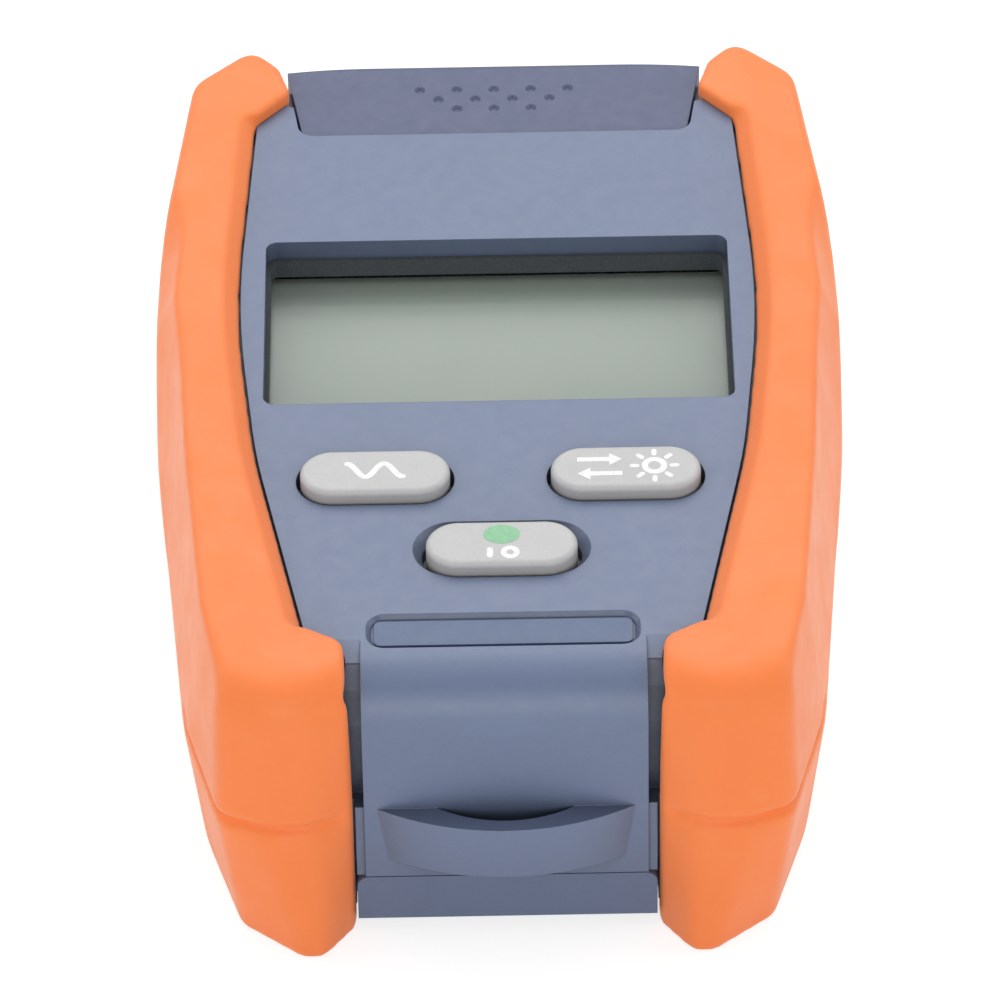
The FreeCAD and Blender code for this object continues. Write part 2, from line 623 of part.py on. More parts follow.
def make_front_shell():
    plan = case_outline()
    shell = prism(plan, s.parting_height, shoulder_z)
    panel = [(x - s.fit_gap, y, radius) for x, y, radius in face_opening()]
    raised = prism(mirrored(panel), shoulder_z - 1, face_z)
    bounds = block(-OUT, OUT, -case_near, case_far, 0, boot_top)
    raised = raised.common(bounds)
    shell = shell.fuse(raised)
    shell = shell.common(side_extrusion(trimmed_profile(), OUT))
    tongue = side_extrusion(tongue_profile(0), s.tongue_half)
    lower = side_extrusion(tongue_profile(0.3), s.tongue_shoulder)
    lower = lower.common(block(-OUT, OUT, -OUT, 0, 0, s.bar_top))
    shell = shell.cut(tongue_channels()).fuse([tongue, lower, lanyard_bar()])
    hollow = prism(plan, s.parting_height - 1, ceiling_z, -s.case_wall)
    hollow = hollow.common(side_extrusion(hollow_profile(), OUT))
    recess_box = s.recess_half + s.case_wall
    bulkhead_y = recess_floor_y - s.case_wall
    bulkhead = block(-recess_box, recess_box, bulkhead_y, OUT, 0, OUT)
    under_ledge = block(-OUT, OUT, bulkhead_y, OUT, cover_seat_z - s.case_wall, OUT)
    shell = shell.cut(hollow.cut([bulkhead, under_ledge]))
    window = box_outline(s.window_half, s.window_y - s.window_length / 2,
                         s.window_y + s.window_length / 2, s.window_round)
    cuts = [prism(window, ceiling_z - 1, face_z + 1)]
    cuts += key_openings() + face_recesses() + cover_pocket()
    cuts.append(rod(s.port_barrel + s.fit_gap, (0, recess_floor_y - 10, s.port_height), (0, 1, 0), 20))
    shell = shell.cut(cuts)
    bosses = []
    root = ceiling_z + 0.5
    for x, y in CASE_SCREWS:
        bosses.append(rod(s.boss_radius, (x, y, s.parting_height), (0, 0, 1), root - s.parting_height))
    for x, y in BOARD_SCREWS:
        bosses.append(rod(s.post_radius, (x, y, board_top), (0, 0, 1), root - board_top))
    shell = shell.fuse(bosses)
    bores = []
    for x, y in CASE_SCREWS:
        bores.append(rod(s.screw_radius, (x, y, s.parting_height - 1), (0, 0, 1), s.screw_length + 1))
    for x, y in BOARD_SCREWS:
        bores.append(rod(s.screw_radius, (x, y, board_top - 1), (0, 0, 1), s.post_screw_length + 1))
    return shell.cut(bores).removeSplitter()


def trimmed_profile():
    """Side view that rounds the shell's near end behind the tongue."""
    return [
        (-case_near, 0.0, 0),
        (-case_near, face_z + HAIR - s.tongue_proud, s.tongue_bend - s.tongue_proud),
        (-case_near + 8.0, face_z + HAIR, 0),
        (case_far, face_z + HAIR, 0),
        (case_far, 0.0, 0),
    ]


def hollow_profile():
    """Side view of the space inside the shells."""
    wall = s.case_wall
    return [
        (-case_near + wall, 0.0, 0),
        (-case_near + wall, ceiling_z, s.tongue_bend - wall),
        (case_far - wall, ceiling_z, 0),
        (case_far - wall, 0.0, 0),
    ]


# ---------------------------------------------------------------- rear shell

def bay_room():
    """Space for the two cells, open towards the door."""
    return block(-bay_half, bay_half, bay_near, bay_far, s.boot_floor - 1, bay_top)


def make_rear_shell():
    plan = case_outline()
    floor = s.boot_floor
    shell = prism(plan, floor, s.parting_height - s.fit_gap)
    inner = prism(plan, floor + s.case_wall, s.parting_height + 1, -s.case_wall)
    inner = inner.common(block(-OUT, OUT, -case_near + s.case_wall, recess_floor_y - s.case_wall, 0, OUT))
    shell = shell.cut(inner)
    bay_outer = bay_half + s.bay_wall
    bay = block(-bay_outer, bay_outer, bay_near - s.bay_wall, bay_far + s.bay_wall,
                door_top + s.slide_gap, bay_top + s.bay_wall)
    shell = shell.fuse(bay)
    door_half = s.door_half + s.slide_gap
    doorway = block(-door_half, door_half, -OUT, door_far + s.slide_gap, floor - 1, door_top + s.slide_gap)
    end_half = s.tongue_shoulder + s.slide_gap
    end_gap = block(-end_half, end_half, -OUT, bay_near - s.bay_wall, floor - 1, s.parting_height + 1)
    rail_z = floor + s.door_height / 2
    slit = s.door_rail_height / 2 + s.slide_gap
    rail_half = door_half + s.door_rail
    rails = block(-rail_half, rail_half, -OUT, bay_far - 2, rail_z - slit, rail_z + slit)
    tab_half = s.door_tab_half + s.slide_gap
    tab_end = door_far + s.door_tab + s.slide_gap
    latch = block(-tab_half, tab_half, 0, tab_end, rail_z - slit, rail_z + slit)
    shell = shell.cut([bay_room(), doorway, end_gap, rails, latch])
    bosses = []
    bores = []
    foot = floor + 0.5
    for x, y in CASE_SCREWS:
        bosses.append(rod(s.boss_radius, (x, y, foot), (0, 0, 1), s.parting_height - s.fit_gap - foot))
        bores.append(rod(s.screw_radius + s.fit_gap, (x, y, floor - 1), (0, 0, 1), s.screw_length))
        bores.append(rod(s.screw_head + s.fit_gap, (x, y, floor - 1), (0, 0, 1),
                         1 + s.screw_head_height + s.screw_sink))
    shell = shell.fuse(bosses).cut(bores)
    ears = []
    for side in (-1, 1):
        x0 = side * (s.hinge_half + s.cover_gap + s.ear_width / 2)
        start = x0 - s.ear_width / 2
        ears.append(rod(s.hinge_radius, (start, hinge_y, s.hinge_height), (1, 0, 0), s.ear_width))
        ears.append(block(start, start + s.ear_width, hinge_y - s.hinge_radius - 1, hinge_y,
                          s.hinge_height - s.hinge_radius, s.hinge_height + s.hinge_radius))
    shell = shell.fuse(ears)
    notch_half = s.hinge_half + s.cover_gap
    notch_radius = s.hinge_radius + s.cover_gap
    notch_y = hinge_y - notch_radius
    notch = rod(notch_radius, (-notch_half, hinge_y, s.hinge_height), (1, 0, 0), 2 * notch_half)
    above = block(-notch_half, notch_half, notch_y, OUT, s.hinge_height, s.parting_height + 1)
    below = block(-notch_half, notch_half, notch_y, OUT, 0, s.hinge_height)
    pin = rod(s.pin_radius, (-notch_half - s.ear_width, hinge_y, s.hinge_height), (1, 0, 0),
              2 * (notch_half + s.ear_width))
    return shell.cut([notch, above, below, pin]).removeSplitter()


# ---------------------------------------------------------------- dust cover

def make_dust_cover():
    seat = cover_seat_z + s.fit_gap
    near_top = face_z - s.cover_drop
    far_top = near_top - s.cover_slope
    inner_y = case_far + s.cover_gap
    outer_y = inner_y + s.cover_wall
    low = s.hinge_height + s.hinge_radius + s.cover_gap
    profile = [
        (cover_near, seat, 0),
        (cover_near, near_top, 0.4),
        (outer_y, far_top, s.cover_edge),
        (outer_y, low, 0),
        (inner_y, low, 0),
        (inner_y, seat, 0),
    ]
    cover = side_extrusion(profile, OUT)
    corner_y = outer_y - s.cover_bow
    corner_x = cover_half(corner_y)
    near_right = Vector(s.cover_near_half, cover_near, 0)
    far_right = Vector(corner_x, corner_y, 0)
    far_left = Vector(-corner_x, corner_y, 0)
    near_left = Vector(-s.cover_near_half, cover_near, 0)
    edges = [
        Part.LineSegment(near_right, far_right).toShape(),
        Part.Arc(far_right, Vector(0, outer_y, 0), far_left).toShape(),
        Part.LineSegment(far_left, near_left).toShape(),
        Part.LineSegment(near_left, near_right).toShape(),
    ]
    plan = Part.Face(Part.Wire(edges)).extrude(Vector(0, 0, boot_top))
    upright = [edge for edge in plan.Edges
               if is_upright(edge) and abs(edge.CenterOfMass.y - cover_near) < 1]
    cover = cover.common(plan.makeFillet(1.8, upright))
    knuckle = rod(s.hinge_radius, (-s.hinge_half, hinge_y, s.hinge_height), (1, 0, 0), 2 * s.hinge_half)
    neck_y = outer_y - s.cover_bow / 2
    neck = block(-s.hinge_half, s.hinge_half, hinge_y, neck_y, s.hinge_height, low + 0.5)
    cover = cover.fuse([knuckle, neck])
    cover = cover.cut(rod(s.pin_radius + s.run_gap, (-OUT, hinge_y, s.hinge_height), (1, 0, 0), 2 * OUT))
    dimples = []
    for row, count in enumerate((5, 4, 3)):
        y = dimple_far - row * s.dimple_row
        top = between(near_top, far_top, (y - cover_near) / (outer_y - cover_near))
        for i in range(count):
            x = (i - (count - 1) / 2) * s.dimple_pitch
            dimples.append(Part.makeCone(0.4 * s.dimple, 1.3 * s.dimple, 0.9 * s.dimple,
                                         Vector(x, y, top - 0.5 * s.dimple)))
    return cover.cut(dimples).removeSplitter()


# ---------------------------------------------------------------- turned pieces on the optical axis

def make_port():
    """Mounting flange on the bulkhead and the threaded barrel that takes the adapter cap."""
    flange = s.port_flange_height
    reach = flange + s.port_reach
    bore = s.sleeve_radius + s.run_gap
    well = s.detector_radius + s.fit_gap
    back = -s.case_wall - 0.5
    points = [
        (well, back), (s.port_barrel, back), (s.port_barrel, 0), (s.port_flange, 0),
        (s.port_flange, flange), (s.port_barrel, flange), (s.port_barrel, reach),
        (bore, reach), (bore, 0.6), (well, 0.6),
    ]
    return revolved(points, (0, recess_floor_y, s.port_height), (0, 1, 0))


def make_cap():
    """Adapter cap that turns on the barrel, with grip flutes round its skirt."""
    start = s.port_flange_height + s.fit_gap
    inner = s.port_barrel + s.run_gap
    end = start + s.cap_length
    web = s.port_flange_height + s.port_reach + s.fit_gap
    hole = s.sleeve_radius + s.run_gap
    outer = s.cap_radius
    points = [
        (inner, start), (outer, start), (outer, end - 2.0),
        (outer - 1.6, end - 1.6), (outer - 2.0, end), (hole, end), (hole, web), (inner, web),
    ]
    cap = revolved(points, (0, recess_floor_y, s.port_height), (0, 1, 0))
    flutes = []
    reach = outer + 0.35
    for i in range(round(CAP_FLUTES)):
        angle = 2 * math.pi * i / CAP_FLUTES
        start = (reach * math.cos(angle), recess_floor_y, s.port_height + reach * math.sin(angle))
        flutes.append(rod(0.6, start, (0, 1, 0), end + 1))
    return cap.cut(flutes)


def make_sleeve():
    """Alignment sleeve: it is pressed in the cap and slides in the barrel's bore."""
    bore = s.ferrule_bore / 2
    start = 1.0
    end = s.port_flange_height + s.fit_gap + s.cap_length + 1.0
    outer = s.sleeve_radius
    points = [(bore, start), (outer, start), (outer, end - 0.2), (outer - 0.2, end),
              (bore + 0.2, end), (bore, end - 0.2)]
    return revolved(points, (0, recess_floor_y, s.port_height), (0, 1, 0))


def make_detector():
    length = s.detector_length
    profile = [(0, -length), (s.detector_radius, -length), (s.detector_radius, 0.5), (0, 0.5)]
    can = revolved(profile, (0, recess_floor_y, s.port_height), (0, 1, 0))
    foot = recess_floor_y - length
    legs = []
    for dx, dz in ((-1.3, 1.0), (0, -1.0), (1.3, 1.0)):
        legs.append(rod(0.25, (dx, foot - 3.0, s.port_height + dz), (0, 1, 0), 3.05))
    return can.fuse(legs)


# ---------------------------------------------------------------- cells, springs, contacts, screws

def make_cell(x, turned):
    """AA cell with its nub at the far end, or at the near end when turned."""
    nub = 2.75
    rim = s.cell_radius - 0.7
    body = s.cell_length
    points = [(0, 0), (rim, 0), (s.cell_radius, 0.7), (s.cell_radius, body - 0.9), (rim, body),
              (nub, body), (nub, body + s.cell_nub), (0, body + s.cell_nub)]
    if turned:
        return revolved(points, (x, bay_far - s.contact - spring_room, cell_z), (0, -1, 0))
    return revolved(points, (x, bay_near + s.contact + spring_room, cell_z), (0, 1, 0))


def make_spring(x, foot, direction):
    """Conical contact spring, from its plate to the flat end of a cell, as a run of short spans."""
    rise = spring_room - s.spring_wire - s.fit_gap
    spans = round(SPRING_TURNS * SPRING_SPANS)
    path = []
    for i in range(spans + 1):
        angle = 2 * math.pi * i / SPRING_SPANS
        radius = s.spring_radius - s.spring_taper * i / spans
        path.append(Vector(radius * math.cos(angle), radius * math.sin(angle), rise * i / spans))
    rings = []
    for i, point in enumerate(path):
        ahead = path[min(i + 1, spans)] - path[max(i - 1, 0)]
        side = ahead.cross(Vector(0, 0, 1)).normalize()
        upper = side.cross(ahead).normalize()
        corners = []
        for k in range(6):
            turn = k * math.pi / 3
            outward = side * math.cos(turn) + upper * math.sin(turn)
            corners.append(point + outward * (s.spring_wire / 2))
        rings.append(Part.makePolygon(corners + corners[:1]))
    wire = Part.makeLoft(rings, True, True)
    wire.Placement = FreeCAD.Placement(
        Vector(x, foot + direction * (s.spring_wire / 2 + s.fit_gap / 2), cell_z),
        FreeCAD.Rotation(Vector(0, 0, 1), Vector(0, direction, 0)))
    return wire


def make_screws(places, base, shank):
    """Pan-head screws that point up, with a cross recess in each head."""
    thread = s.screw_radius - 0.02
    head = s.screw_head_height
    cross = s.screw_cross
    slot = 0.25
    points = [(0, 0), (s.screw_head, 0), (s.screw_head, head),
              (thread, head), (thread, shank - 1.0), (0, shank)]
    screws = []
    for x, y in places:
        screw = revolved(points, (x, y, base), (0, 0, 1))
        bars = [block(x - cross, x + cross, y - slot, y + slot, base - 0.1, base + 0.7),
                block(x - slot, x + slot, y - cross, y + cross, base - 0.1, base + 0.7)]
        screws.append(screw.cut(bars))
    return Part.makeCompound(screws)


# ---------------------------------------------------------------- sketched pieces

def value(expression):
    """Number that an expression on the sheet stands for."""
    return float(sheet.evalExpression(expression))


def new_body(label):
    body = doc.addObject("PartDesign::Body", label)
    body.Label = label
    nodes.append(body)
    return body


def new_sketch(body, name, role, level):
    """Sketch on one of the body's own origin planes, lifted off it by level."""
    sketch = body.newObject("Sketcher::SketchObject", name)
    plane = [item for item in body.Origin.OriginFeatures if item.Role == role][0]
    sketch.AttachmentSupport = (plane, "")
    sketch.MapMode = "FlatFace"
    sketch.setExpression("AttachmentOffset.Base.z", level)
    return sketch


def pin_point(sketch, index, end, across, along):
    """Hold one end of an edge at two expressions from the sketch origin."""
    for kind, expression in (("DistanceX", across), ("DistanceY", along)):
        number = sketch.addConstraint(Sketcher.Constraint(kind, -1, 1, index, end, value(expression)))
        sketch.setExpression(f"Constraints[{number}]", expression)


def add_polygon(sketch, corners):
    """Closed polygon whose corners are pairs of expressions."""
    first = sketch.GeometryCount
    points = [Vector(value(across), value(along), 0) for across, along in corners]
    for i, point in enumerate(points):
        sketch.addGeometry(Part.LineSegment(point, points[(i + 1) % len(points)]), False)
    for i, (across, along) in enumerate(corners):
        following = first + (i + 1) % len(points)
        sketch.addConstraint(Sketcher.Constraint("Coincident", first + i, 2, following, 1))
        pin_point(sketch, first + i, 1, across, along)


def add_rectangle(sketch, half, near, far, middle="0"):
    corners = [(f"{middle} - ({half})", near), (f"{middle} + ({half})", near),
               (f"{middle} + ({half})", far), (f"{middle} - ({half})", far)]
    add_polygon(sketch, corners)


def add_circle(sketch, across, along, radius):
    index = sketch.addGeometry(
        Part.Circle(Vector(value(across), value(along), 0), Vector(0, 0, 1), value(radius)), False)
    pin_point(sketch, index, 3, across, along)
    number = sketch.addConstraint(Sketcher.Constraint("Radius", index, value(radius)))
    sketch.setExpression(f"Constraints[{number}]", radius)


def add_stadium(sketch, across, along, length, width):
    """Slot outline: two half circles joined by straight sides."""
    x = value(across)
    y = value(along)
    radius = value(width) / 2
    reach = value(length) / 2 - radius
    quarter = math.pi / 2
    right = Part.Circle(Vector(x + reach, y, 0), Vector(0, 0, 1), radius)
    left = Part.Circle(Vector(x - reach, y, 0), Vector(0, 0, 1), radius)
    far = (Vector(x + reach, y + radius, 0), Vector(x - reach, y + radius, 0))
    near = (Vector(x - reach, y - radius, 0), Vector(x + reach, y - radius, 0))
    first = sketch.addGeometry(Part.ArcOfCircle(right, -quarter, quarter), False)
    sketch.addGeometry(Part.ArcOfCircle(left, quarter, 3 * quarter), False)
    sketch.addGeometry(Part.LineSegment(*far), False)
    sketch.addGeometry(Part.LineSegment(*near), False)
    joints = ((first, 2, first + 2, 1), (first + 2, 2, first + 1, 1),
              (first + 1, 2, first + 3, 1), (first + 3, 2, first, 1))
    for joint in joints:
        sketch.addConstraint(Sketcher.Constraint("Tangent", *joint))
    half_reach = f"(({length}) - ({width})) / 2"
    pin_point(sketch, first, 3, f"{across} + {half_reach}", along)
    number = sketch.addConstraint(Sketcher.Constraint("DistanceX", first + 1, 3, first, 3, 2 * reach))
    sketch.setExpression(f"Constraints[{number}]", f"({length}) - ({width})")
    number = sketch.addConstraint(Sketcher.Constraint("Radius", first, radius))
    sketch.setExpression(f"Constraints[{number}]", f"({width}) / 2")


def add_pad(body, sketch, length):
    pad = body.newObject("PartDesign::Pad", sketch.Name + "_pad")
    pad.Profile = sketch
    pad.setExpression("Length", length)
    sketch.Visibility = False
    return pad


def add_pocket(body, sketch, length, upwards=True):
    """Pocket that cuts along the sketch's normal when upwards, against it when not."""
    pocket = body.newObject("PartDesign::Pocket", sketch.Name + "_pocket")
    pocket.Profile = sketch
    pocket.Reversed = upwards
    pocket.setExpression("Length", length)
    return pocket


def round_edges(body, feature, radius, test):
    """Fillet the edges of the body's last feature that pass the test."""
    doc.recompute()
    names = [f"Edge{i}" for i, edge in enumerate(feature.Shape.Edges, start=1) if test(edge)]
    fillet = body.newObject("PartDesign::Fillet", feature.Name + "_round")
    fillet.Base = (feature, names)
    fillet.setExpression("Radius", radius)
    return fillet


def is_upright(edge):
    ends = edge.Vertexes
    if len(ends) != 2:
        return False
    return math.hypot(ends[0].X - ends[1].X, ends[0].Y - ends[1].Y) < 1e-6


def make_plate(label, half, near, far, level, height, corner, window=None):
    """Flat plate with rounded corners and, where given, a rounded window."""
    body = new_body(label)
    sketch = new_sketch(body, label + "_plan", "XY_Plane", level)
    add_rectangle(sketch, half, near, far)
    tip = round_edges(body, add_pad(body, sketch, height), corner, is_upright)
    if window:
        inner_half, inner_near, inner_far, inner_corner = window
        hole = new_sketch(body, label + "_window", "XY_Plane", level)
        add_rectangle(hole, inner_half, inner_near, inner_far)
        pocket = add_pocket(body, hole, height)
        limit = value(inner_half) + 0.01
        tip = round_edges(body, pocket, inner_corner,
                          lambda edge: is_upright(edge) and abs(edge.Vertexes[0].X) < limit)
    body.Tip = tip
    return body


def make_key(label, x, y):
    """Key cap with a flange behind the face and a stem over its switch."""
    body = new_body(label)
    foot = f"{CEILING} - dims.slide_gap - dims.key_flange"
    flange = new_sketch(body, label + "_flange", "XY_Plane", foot)
    add_stadium(flange, x, y, "dims.key_length + 2 * dims.key_rim", "dims.key_width + 2 * dims.key_rim")
    add_pad(body, flange, "dims.key_flange")
    cap = new_sketch(body, label + "_cap", "XY_Plane", foot)
    add_stadium(cap, x, y, "dims.key_length", "dims.key_width")
    cap_pad = add_pad(body, cap, "dims.key_flange + dims.slide_gap + dims.face_wall + dims.key_proud")
    top = value(f"{FACE} + dims.key_proud")
    rounded = round_edges(body, cap_pad, "dims.key_edge",
                          lambda edge: edge.BoundBox.ZMin > top - 1e-4)
    tip = f"({BOARD_TOP} + {SWITCH_TOP} + dims.key_travel + dims.slide_gap)"
    stem = new_sketch(body, label + "_stem", "XY_Plane", tip)
    add_circle(stem, x, y, "dims.key_stem")
    body.Tip = add_pad(body, stem, f"{foot} - {tip}")


def make_board():
    body = new_body("main_board")
    sketch = new_sketch(body, "board_plan", "XY_Plane", f"{BOARD_TOP} - dims.board_height")
    add_rectangle(sketch, BOARD_HALF, "dims.board_near", BOARD_FAR)
    tip = round_edges(body, add_pad(body, sketch, "dims.board_height"), "2", is_upright)
    holes = new_sketch(body, "board_holes", "XY_Plane", f"{BOARD_TOP} - dims.board_height")
    for across in (POST_X, f"-{POST_X}"):
        for along in (f"{BOARD_FAR} - dims.post_in_far", "dims.post_y_near"):
            add_circle(holes, across, along, "dims.screw_radius + dims.fit_gap")
    body.Tip = add_pocket(body, holes, "dims.board_height")


def make_door():
    """Battery door: plate, end flange, side rails and latch tab."""
    body = new_body("battery_door")
    plate = new_sketch(body, "door_plan", "XY_Plane", "dims.boot_floor")
    add_rectangle(plate, "dims.door_half", DOOR_NEAR, DOOR_FAR)
    add_pad(body, plate, "dims.door_height")
    rail_base = "dims.boot_floor + dims.door_height / 2 - dims.door_rail_height / 2"
    rails = new_sketch(body, "door_rails", "XY_Plane", rail_base)
    add_rectangle(rails, "dims.door_half + dims.door_rail", BAY_NEAR, f"{BAY_FAR} - 4")
    add_pad(body, rails, "dims.door_rail_height")
    tab = new_sketch(body, "door_tab", "XY_Plane", rail_base)
    add_rectangle(tab, "dims.door_tab_half", "0", f"{DOOR_FAR} + dims.door_tab")
    add_pad(body, tab, "dims.door_rail_height")
    flange = new_sketch(body, "door_end", "XY_Plane", "dims.boot_floor")
    add_rectangle(flange, "dims.tongue_shoulder", DOOR_NEAR, f"{DOOR_NEAR} + dims.door_flange")
    wall = add_pad(body, flange, "dims.parting_height - dims.slide_gap - dims.boot_floor")
    near = value(DOOR_NEAR)
    top = value("dims.parting_height - dims.slide_gap")

    def upper_corner(edge):
        box = edge.BoundBox
        along_y = box.YLength > 0.5 and box.XLength < 1e-6 and box.ZLength < 1e-6
        return along_y and box.YMin < near + 0.01 and box.ZMin > top - 1e-4

    body.Tip = round_edges(body, wall, "1.4", upper_corner)


def make_pin():
    body = new_body("dust_cover_pin")
    half = "(dims.hinge_half + dims.cover_gap + dims.ear_width - 0.2)"
    sketch = new_sketch(body, "pin_section", "YZ_Plane", f"-{half}")
    add_circle(sketch, HINGE_Y, "dims.hinge_height", "dims.pin_radius")
    body.Tip = add_pad(body, sketch, f"2 * {half}")


def bound_box(label, size, place):
    """Part::Box whose sides and corner are expressions."""
    box = doc.addObject("Part::Box", label)
    for name, expression in zip(("Length", "Width", "Height"), size):
        box.setExpression(name, expression)
    for name, expression in zip("xyz", place):
        box.setExpression("Placement.Base." + name, expression)
    return box


def bound_cylinder(label, radius, height, place):
    cylinder = doc.addObject("Part::Cylinder", label)
    cylinder.setExpression("Radius", radius)
    cylinder.setExpression("Height", height)
    for name, expression in zip("xyz", place):
        cylinder.setExpression("Placement.Base." + name, expression)
    return cylinder


def join(label, pieces):
    fuse = doc.addObject("Part::MultiFuse", label)
    fuse.Shapes = pieces
    fuse.Label = label
    return fuse


def gather(label, pieces):
    group = doc.addObject("Part::Compound", label)
    group.Links = pieces
    group.Label = label
    nodes.append(group)


def make_seal():
    """Soft pad on the inside of the dust cover that closes the sleeve's mouth."""
    body = new_body("dust_seal")
    sketch = new_sketch(body, "seal_section", "XZ_Plane", f"-({SEAL_BACK})")
    add_circle(sketch, "0", "dims.port_height", "dims.seal_radius")
    body.Tip = add_pad(body, sketch, f"{SEAL_BACK} - ({SEAL_FRONT})")


def make_switches():
    switches = []
    for label, (x, y) in KEY_CELLS.items():
        size = ("dims.switch_size", "dims.switch_size", "dims.switch_height")
        corner = (f"{x} - dims.switch_size / 2", f"{y} - dims.switch_size / 2", BOARD_TOP)
        case = bound_box(label + "_switch_case", size, corner)
        plunger = bound_cylinder(label + "_plunger", "dims.plunger", SWITCH_TOP, (x, y, BOARD_TOP))
        switches.append(join(label + "_switch", [case, plunger]))
    gather("key_switches", switches)


def make_chips():
    """Parts soldered to the board's back, clear of the battery bay, and on its front."""
    chips = [
        # half x, half y, height, middle x, middle y
        ("processor", 5.0, 5.0, 1.4, 0.0, 18.0),
        ("amplifier", 2.5, 2.0, 1.2, 0.0, 33.0),
        ("crystal", 1.6, 2.6, 1.5, -10.0, 24.0),
        ("memory", 2.0, 2.5, 1.0, 10.5, 22.0),
        ("coil", 3.0, 3.0, 2.8, 10.0, 33.0),
        ("converter", 1.5, 1.5, 1.0, -12.0, 34.0),
    ]
    boxes = []
    for label, half_x, half_y, height, x, y in chips:
        size = (str(2 * half_x), str(2 * half_y), str(height))
        corner = (str(x - half_x), str(y - half_y), f"{BOARD_BACK} - {height}")
        boxes.append(bound_box(label, size, corner))
    gather("board_chips", boxes)


def make_strips():
    strips = []
    for label, side in (("strip_near", "-1"), ("strip_far", "1")):
        middle = f"dims.window_y + {side} * (dims.window_length / 2 - dims.strip_width / 2)"
        size = ("2 * dims.window_half - 6", "dims.strip_width", "dims.light_height")
        corner = ("3 - dims.window_half", f"{middle} - dims.strip_width / 2", BOARD_TOP)
        strips.append(bound_box(label, size, corner))
    gather("contact_strips", strips)


def make_contacts():
    """Sheet contacts: one bridges both cells at the near end, two stand at the far end."""
    low = "dims.boot_floor + dims.door_height + dims.bay_slack + 1"
    height = "2 * dims.cell_radius - 2"
    left = "-dims.cell_pitch / 2 - dims.contact_width / 2"
    right = "dims.cell_pitch / 2 - dims.contact_width / 2"
    far = f"{BAY_FAR} - dims.contact"
    single = ("dims.contact_width", "dims.contact", height)
    double = ("dims.cell_pitch + dims.contact_width", "dims.contact", height)
    plates = [
        bound_box("bridge_contact", double, (left, BAY_NEAR, low)),
        bound_box("plus_contact", single, (left, far, low)),
        bound_box("minus_contact", single, (right, far, low)),
    ]
    gather("cell_contacts", plates)


add_feature("boot", make_boot())
add_feature("front_shell", make_front_shell())
add_feature("rear_shell", make_rear_shell())
add_feature("dust_cover", make_dust_cover())
add_feature("optical_port", make_port())
add_feature("adapter_cap", make_cap())
add_feature("alignment_sleeve", make_sleeve())
add_feature("detector", make_detector())
add_feature("cell_left", make_cell(-s.cell_pitch / 2, False))
add_feature("cell_right", make_cell(s.cell_pitch / 2, True))
add_feature("contact_springs", Part.makeCompound([
    make_spring(-s.cell_pitch / 2, bay_near + s.contact, 1),
    make_spring(s.cell_pitch / 2, bay_far - s.contact, -1),
]))
add_feature("case_screws", make_screws(CASE_SCREWS, s.boot_floor + s.screw_sink, s.screw_length))
add_feature("board_screws",
            make_screws(BOARD_SCREWS, board_z - s.screw_head_height, s.post_screw_length + 2))
GASKET_WINDOW = ("dims.window_half - dims.gasket_lip", f"{WINDOW_NEAR} + dims.gasket_lip",
                 f"{WINDOW_FAR} - dims.gasket_lip", "dims.window_round - dims.gasket_lip")
make_plate("lcd_gasket", "dims.window_half + dims.gasket_rim", f"{WINDOW_NEAR} - dims.gasket_rim",
           f"{WINDOW_FAR} + dims.gasket_rim", GASKET, "dims.gasket_height",
           "dims.window_round + dims.gasket_rim", GASKET_WINDOW)
make_plate("lcd_lens", "dims.window_half + dims.gasket_rim - 0.3", f"{WINDOW_NEAR} - dims.gasket_rim + 0.3",
           f"{WINDOW_FAR} + dims.gasket_rim - 0.3", LENS, "dims.lens_height", "1")
make_plate("lcd_glass", "dims.window_half + 0.6", f"{WINDOW_NEAR} - 0.6", f"{WINDOW_FAR} + 0.6", LCD,
           "dims.lcd_height", "0.5")
make_plate("lcd_backlight", "dims.window_half", f"{WINDOW_NEAR} + dims.strip_width + 0.3",
           f"{WINDOW_FAR} - dims.strip_width - 0.3", BOARD_TOP, "dims.light_height", "0.8")
make_plate("name_inlay", "dims.name_half - 0.9", f"{NAME_Y} - dims.name_width / 2 + 0.8",
           f"{NAME_Y} + dims.name_width / 2 - 0.8", f"{FACE} - dims.name_depth", "dims.name_inlay", "0.8")
for label, (across, along) in KEY_CELLS.items():
    make_key(label, across, along)
make_board()
make_door()
make_pin()
make_seal()
make_switches()
make_chips()
make_strips()
make_contacts()
doc.recompute()

os.makedirs("parts", exist_ok=True)
for item in doc.Objects:
    if "Invalid" in item.State or "Error" in item.State:
        raise RuntimeError(f"{item.Label} failed: {item.State}")
for node in nodes:
    if node.Shape.isNull() or not node.Shape.isValid():
        raise RuntimeError(f"{node.Label} has no valid shape")
for node in nodes:
    node.Shape.exportStep("parts/" + node.Label + ".step")
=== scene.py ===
import json
import math

import bmesh
import bpy
from mathutils import Matrix, Vector


